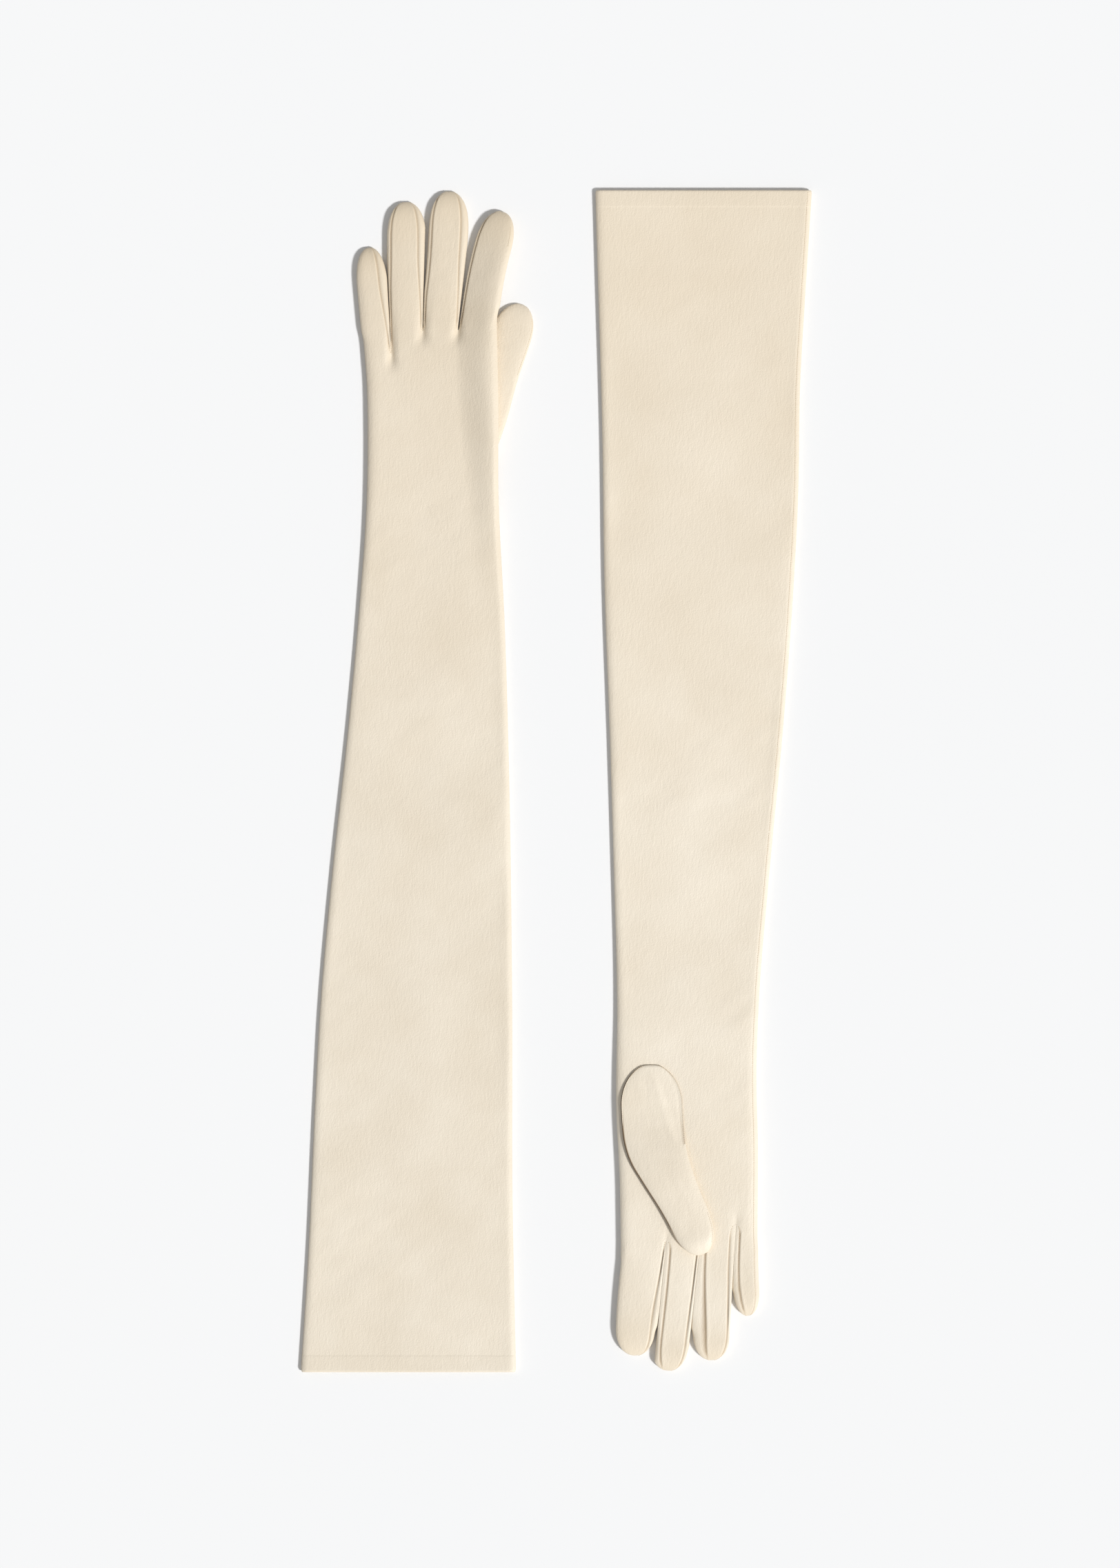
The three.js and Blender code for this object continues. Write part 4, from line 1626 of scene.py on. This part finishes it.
@dataclass(frozen=True)
class Stitching:
    """Rows of fine stitches laid along the sewn lines."""

    pitch: float = 1.05
    length: float = 0.74
    thickness: float = 0.3

    def tree(self, thread: bpy.types.Material) -> bpy.types.NodeTree:
        """Builds the node group that turns lines into rows of stitches.

        Args:
            thread: The thread's material.

        Returns:
            The node group, with the stitches' sizes as its inputs.
        """
        group = bpy.data.node_groups.new("stitch_rows", "GeometryNodeTree")
        group.interface.new_socket("Lines", in_out="INPUT", socket_type="NodeSocketGeometry")
        for label, value in (("Pitch", self.pitch), ("Length", self.length), ("Thickness", self.thickness)):
            socket = group.interface.new_socket(label, in_out="INPUT", socket_type="NodeSocketFloat")
            socket.default_value = value * MM
        group.interface.new_socket("Stitches", in_out="OUTPUT", socket_type="NodeSocketGeometry")

        def add(kind: str, **settings: Any) -> bpy.types.Node:
            """Adds a node.

            Args:
                kind: The node's type.
                settings: Its attributes.

            Returns:
                The node.
            """
            made = group.nodes.new(kind)
            for key, value in settings.items():
                setattr(made, key, value)
            return made

        given, result = add("NodeGroupInput"), add("NodeGroupOutput")
        curve = add("GeometryNodeMeshToCurve")
        even = add("GeometryNodeResampleCurve")
        if hasattr(even, "mode"):
            even.mode = "LENGTH"
        tangent = add("GeometryNodeInputTangent")
        align = add("FunctionNodeAlignRotationToVector", axis="Z")
        ball = add("GeometryNodeMeshUVSphere")
        ball.inputs["Segments"].default_value, ball.inputs["Rings"].default_value = 6, 5
        ball.inputs["Radius"].default_value = 0.5
        scale = add("ShaderNodeCombineXYZ")
        rows = add("GeometryNodeInstanceOnPoints")
        real = add("GeometryNodeRealizeInstances")
        paint = add("GeometryNodeSetMaterial")
        paint.inputs["Material"].default_value = thread
        for source, out, target, into in (
            (given, "Lines", curve, "Mesh"),
            (curve, "Curve", even, "Curve"),
            (given, "Pitch", even, "Length"),
            (tangent, "Tangent", align, "Vector"),
            (even, "Curve", rows, "Points"),
            (ball, "Mesh", rows, "Instance"),
            (align, "Rotation", rows, "Rotation"),
            (given, "Thickness", scale, "X"),
            (given, "Thickness", scale, "Y"),
            (given, "Length", scale, "Z"),
            (scale, "Vector", rows, "Scale"),
            (rows, "Instances", real, "Geometry"),
            (real, "Geometry", paint, "Geometry"),
            (paint, "Geometry", result, "Stitches"),
        ):
            group.links.new(source.outputs[out], target.inputs[into])
        return group

    def sew(
        self, name: str, lines: Sequence[Array], group: bpy.types.NodeTree, thread: bpy.types.Material
    ) -> bpy.types.Object:
        """Makes one piece of stitching.

        Args:
            name: The piece's name.
            lines: Point runs in metres.
            group: The node group of the stitch rows.
            thread: The thread's material.

        Returns:
            A plain mesh object with every stitch in it.
        """
        points = np.concatenate(lines)
        edges, start = [], 0
        for line in lines:
            edges += [(start + i, start + i + 1) for i in range(len(line) - 1)]
            start += len(line)
        guide_mesh = bpy.data.meshes.new(name + "_guide")
        guide_mesh.from_pydata(points.tolist(), edges, [])
        guide = bpy.data.objects.new(name + "_guide", guide_mesh)
        bpy.context.scene.collection.objects.link(guide)
        modifier = guide.modifiers.new("rows", "NODES")
        modifier.node_group = group
        for item in group.interface.items_tree:
            if item.in_out == "INPUT" and item.name in ("Pitch", "Length", "Thickness"):
                modifier[item.identifier] = getattr(self, item.name.lower()) * MM
        evaluated = guide.evaluated_get(bpy.context.evaluated_depsgraph_get())
        mesh = bpy.data.meshes.new_from_object(evaluated)
        mesh.name = name
        if not mesh.materials:
            mesh.materials.append(thread)
        piece = bpy.data.objects.new(name, mesh)
        bpy.context.scene.collection.objects.link(piece)
        bpy.data.objects.remove(guide)
        mesh.polygons.foreach_set("use_smooth", [True] * len(mesh.polygons))
        return piece


# ---- the glove, dressed over its frame -----------------------------------------------------------------


@dataclass(frozen=True)
class Fold:
    """A length of leather that bends between two bodies."""

    first: str
    second: str
    start: float
    end: float


ELBOW = Fold("sleeve", "forearm", 205.0, 275.0)
WRIST = Fold("forearm", "hand", 460.0, 512.0)
FINGER_FOLD = (606.0, 629.0)
LITTLE_FOLD = (598.0, 615.0)


@dataclass
class Glove:
    """One long glove: sleeve, hand, fingers, fourchettes, thumb and stitching."""

    lay: GloveLay
    finish: LeatherFinish
    cut: Leather = CUT
    stitching: Stitching = Stitching()

    @property
    def side(self) -> str:
        """The side's name."""
        return self.lay.side.value

    def at(self, along: float) -> tuple[float, float, float]:
        """A point on the glove's middle, in metres."""
        return tuple(Placing(self.lay.side).points(np.array([[-50.0, along, 5.0]]))[0])

    def bend(self, piece: bpy.types.Object, fold: Fold) -> None:
        """Bakes a piece's placing into its mesh; nothing bends it."""
        f"{self.side}_{fold.first}"
        f"{self.side}_{fold.second}"
        self.at(fold.start)
        self.at(fold.end)
        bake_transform(piece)

    def fold_of(self, part: str) -> Fold:
        """The fold that a part bends across.

        Args:
            part: "sleeve", "hand" or a finger's name.

        Returns:
            The fold.
        """
        fixed = {"sleeve": ELBOW, "hand": WRIST}
        span = LITTLE_FOLD if part == "little" else FINGER_FOLD
        return fixed.get(part) or Fold("hand", part, *span)

    def dress(
        self, piece: bpy.types.Object, material: bpy.types.Material, nodes: Sequence[str]
    ) -> None:
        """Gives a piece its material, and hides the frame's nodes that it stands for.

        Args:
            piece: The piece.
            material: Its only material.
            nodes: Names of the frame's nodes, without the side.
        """
        piece.data.materials.clear()
        piece.data.materials.append(material)
        if nodes:
            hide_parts(*(f"{self.side}_{node}" for node in nodes))
        LOG.info("%s: %d faces", piece.name, len(piece.data.polygons))

    def build(self, thread: bpy.types.Material, group: bpy.types.NodeTree) -> None:
        """Builds every piece of the glove and hides the frame's parts that each stands for.

        Args:
            thread: The thread's material.
            group: The node group of the stitch rows.
        """
        side, placing = self.side, Placing(self.lay.side)
        leather = self.finish.make()
        shape = GloveShape(self.lay, self.cut)
        surface = shape.build()
        for owner in surface.names:
            piece = leather_mesh(f"{side}_{owner}_leather", surface, owner, placing, self.cut)
            nodes = {"sleeve": ["sleeve", "hem_facing"], "hand": ["forearm", "hand"]}.get(owner, [owner])
            self.dress(piece, leather, nodes)
            self.bend(piece, self.fold_of(owner.split("_")[0]))
        thumb, thumb_lines = ThumbShape(self.lay, self.cut, surface).build()
        piece = leather_mesh(f"{side}_thumb_leather", thumb, "thumb", placing, self.cut)
        self.dress(piece, leather, ["thumb_foot", "thumb"])
        self.bend_thumb(piece)
        self.sew(shape.lines + thumb_lines, placing, thread, group)

    def bend_thumb(self, piece: bpy.types.Object) -> None:
        """Bakes the thumb's placing into its mesh; nothing swings it.

        Args:
            piece: The thumb's leather, or its stitches.
        """
        line = np.array(self.lay.thumb.line, float)
        ends = np.array([line[1] + 0.15 * (line[2] - line[1]), line[3]])
        height = np.full((2, 1), 5.0)
        start, end = Placing(self.lay.side).points(np.concatenate([ends, height], axis=1))
        f"{self.side}_hand"
        f"{self.side}_thumb"
        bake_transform(piece)

    def sew(
        self,
        lines: Sequence[SeamLine],
        placing: Placing,
        thread: bpy.types.Material,
        group: bpy.types.NodeTree,
    ) -> None:
        """Lays the stitches of every sewn line, split where the leather is.

        Args:
            lines: The glove's sewn lines.
            placing: Where the glove lies.
            thread: The thread's material.
            group: The node group of the stitch rows.
        """
        out_of_leather, above_table = 0.08, 0.16
        runs: dict[str, list[Array]] = {}
        for line in lines:
            points = line.points + line.normals * out_of_leather
            points[:, 2] = np.maximum(points[:, 2], above_table)
            if line.part == "side":
                on_sleeve = points[:, 1] <= PIECE_SPLIT
                on_hand = points[:, 1] >= PIECE_SPLIT
                runs.setdefault("sleeve", []).append(placing.points(points[on_sleeve]))
                runs.setdefault("hand", []).append(placing.points(points[on_hand]))
            else:
                runs.setdefault(line.part, []).append(placing.points(points))
        for part, found in runs.items():
            piece = self.stitching.sew(f"{self.side}_{part}_stitches", found, group, thread)
            self.dress(piece, thread, [])
            if part == "thumb":
                self.bend_thumb(piece)
            elif part == "oval":
                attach(piece, f"{self.side}_hand")
            else:
                self.bend(piece, self.fold_of(part))


# ---- the studio --------------------------------------------------------------------------------------------


@dataclass(frozen=True)
class Studio:
    """A white table under soft light, seen from straight above.

    Attributes:
        table_reach: Half the table's width, in metres.
        camera_height: Above the table, in metres.
        frame_height: Height of the view at the table, in metres.
        aim: Where the camera looks at the table, in metres.
        key_strength: Of the main light.
        key_angle: Its size in the sky, in degrees.
        key_elevation: Its height in the sky, in degrees.
        key_turn: Its direction, in degrees from +X towards -Y.
        fill: Strength of the light from all round.
    """

    table_reach: float = 6.0
    camera_height: float = 3.0
    frame_height: float = 0.9044
    aim: tuple[float, float] = (0.002, -0.0016)
    key_strength: float = 2.88
    key_angle: float = 9.0
    key_elevation: float = 47.0
    key_turn: float = 34.0
    fill: float = 0.37

    def build(self) -> None:
        """Makes the table, the lights and the camera."""
        self.add_table()
        self.add_lights()
        self.add_camera()
        bpy.context.scene.view_settings.view_transform = "Standard"
        LOG.info("studio ready")

    def add_table(self) -> None:
        """Makes the table."""
        r = self.table_reach
        mesh = bpy.data.meshes.new("table")
        mesh.from_pydata([(-r, -r, 0), (r, -r, 0), (r, r, 0), (-r, r, 0)], [], [(0, 1, 2, 3)])
        mesh.materials.append(TableFinish().make())
        table = bpy.data.objects.new("table", mesh)
        bpy.context.scene.collection.objects.link(table)

    def add_lights(self) -> None:
        """Makes the main light and the soft light from all round."""
        key = bpy.data.lights.new("key", "SUN")
        key.energy, key.angle = self.key_strength, math.radians(self.key_angle)
        lamp = bpy.data.objects.new("key", key)
        turn, rise = math.radians(self.key_turn), math.radians(self.key_elevation)
        towards = Vector((math.cos(turn) * math.cos(rise), -math.sin(turn) * math.cos(rise), math.sin(rise)))
        lamp.rotation_mode = "QUATERNION"
        lamp.rotation_quaternion = towards.to_track_quat("Z", "Y")
        lamp.location = towards * 2.0
        bpy.context.scene.collection.objects.link(lamp)
        world = bpy.data.worlds.new("studio")
        world.use_nodes = True
        back = world.node_tree.nodes["Background"]
        back.inputs["Color"].default_value = (0.985, 0.993, 1.0, 1.0)
        back.inputs["Strength"].default_value = self.fill
        bpy.context.scene.world = world

    def add_camera(self) -> None:
        """Makes the camera."""
        lens = bpy.data.cameras.new("camera")
        lens.sensor_width = 36.0
        lens.lens = lens.sensor_width * self.camera_height / self.frame_height
        lens.clip_start, lens.clip_end = 0.05, 50.0
        camera = bpy.data.objects.new("camera", lens)
        camera.location = (*self.aim, self.camera_height)
        bpy.context.scene.collection.objects.link(camera)
        bpy.context.scene.camera = camera


LEFT_FINISH = LeatherFinish(
    name="left_ivory_leather",
    light=(240, 230, 213),
    deep=(227, 214, 193),
    warm=(223, 203, 173),
    crease_turn=math.radians(30),
)
RIGHT_FINISH = LeatherFinish(
    name="right_ivory_leather",
    light=(244, 234, 217),
    deep=(231, 218, 197),
    warm=(224, 205, 176),
    crease_turn=math.radians(-36),
)


def main() -> None:
    """Builds both gloves and the studio, in order."""
    logging.basicConfig(level=logging.INFO, format="%(name)s: %(message)s")
    Studio().build()
    thread = ThreadFinish().make()
    group = Stitching().tree(thread)
    for lay, finish in ((LEFT_LAY, LEFT_FINISH), (RIGHT_LAY, RIGHT_FINISH)):
        Glove(lay, finish).build(thread, group)
        LOG.info("%s glove ready", lay.side.value)


if __name__ == "__main__":
    main()
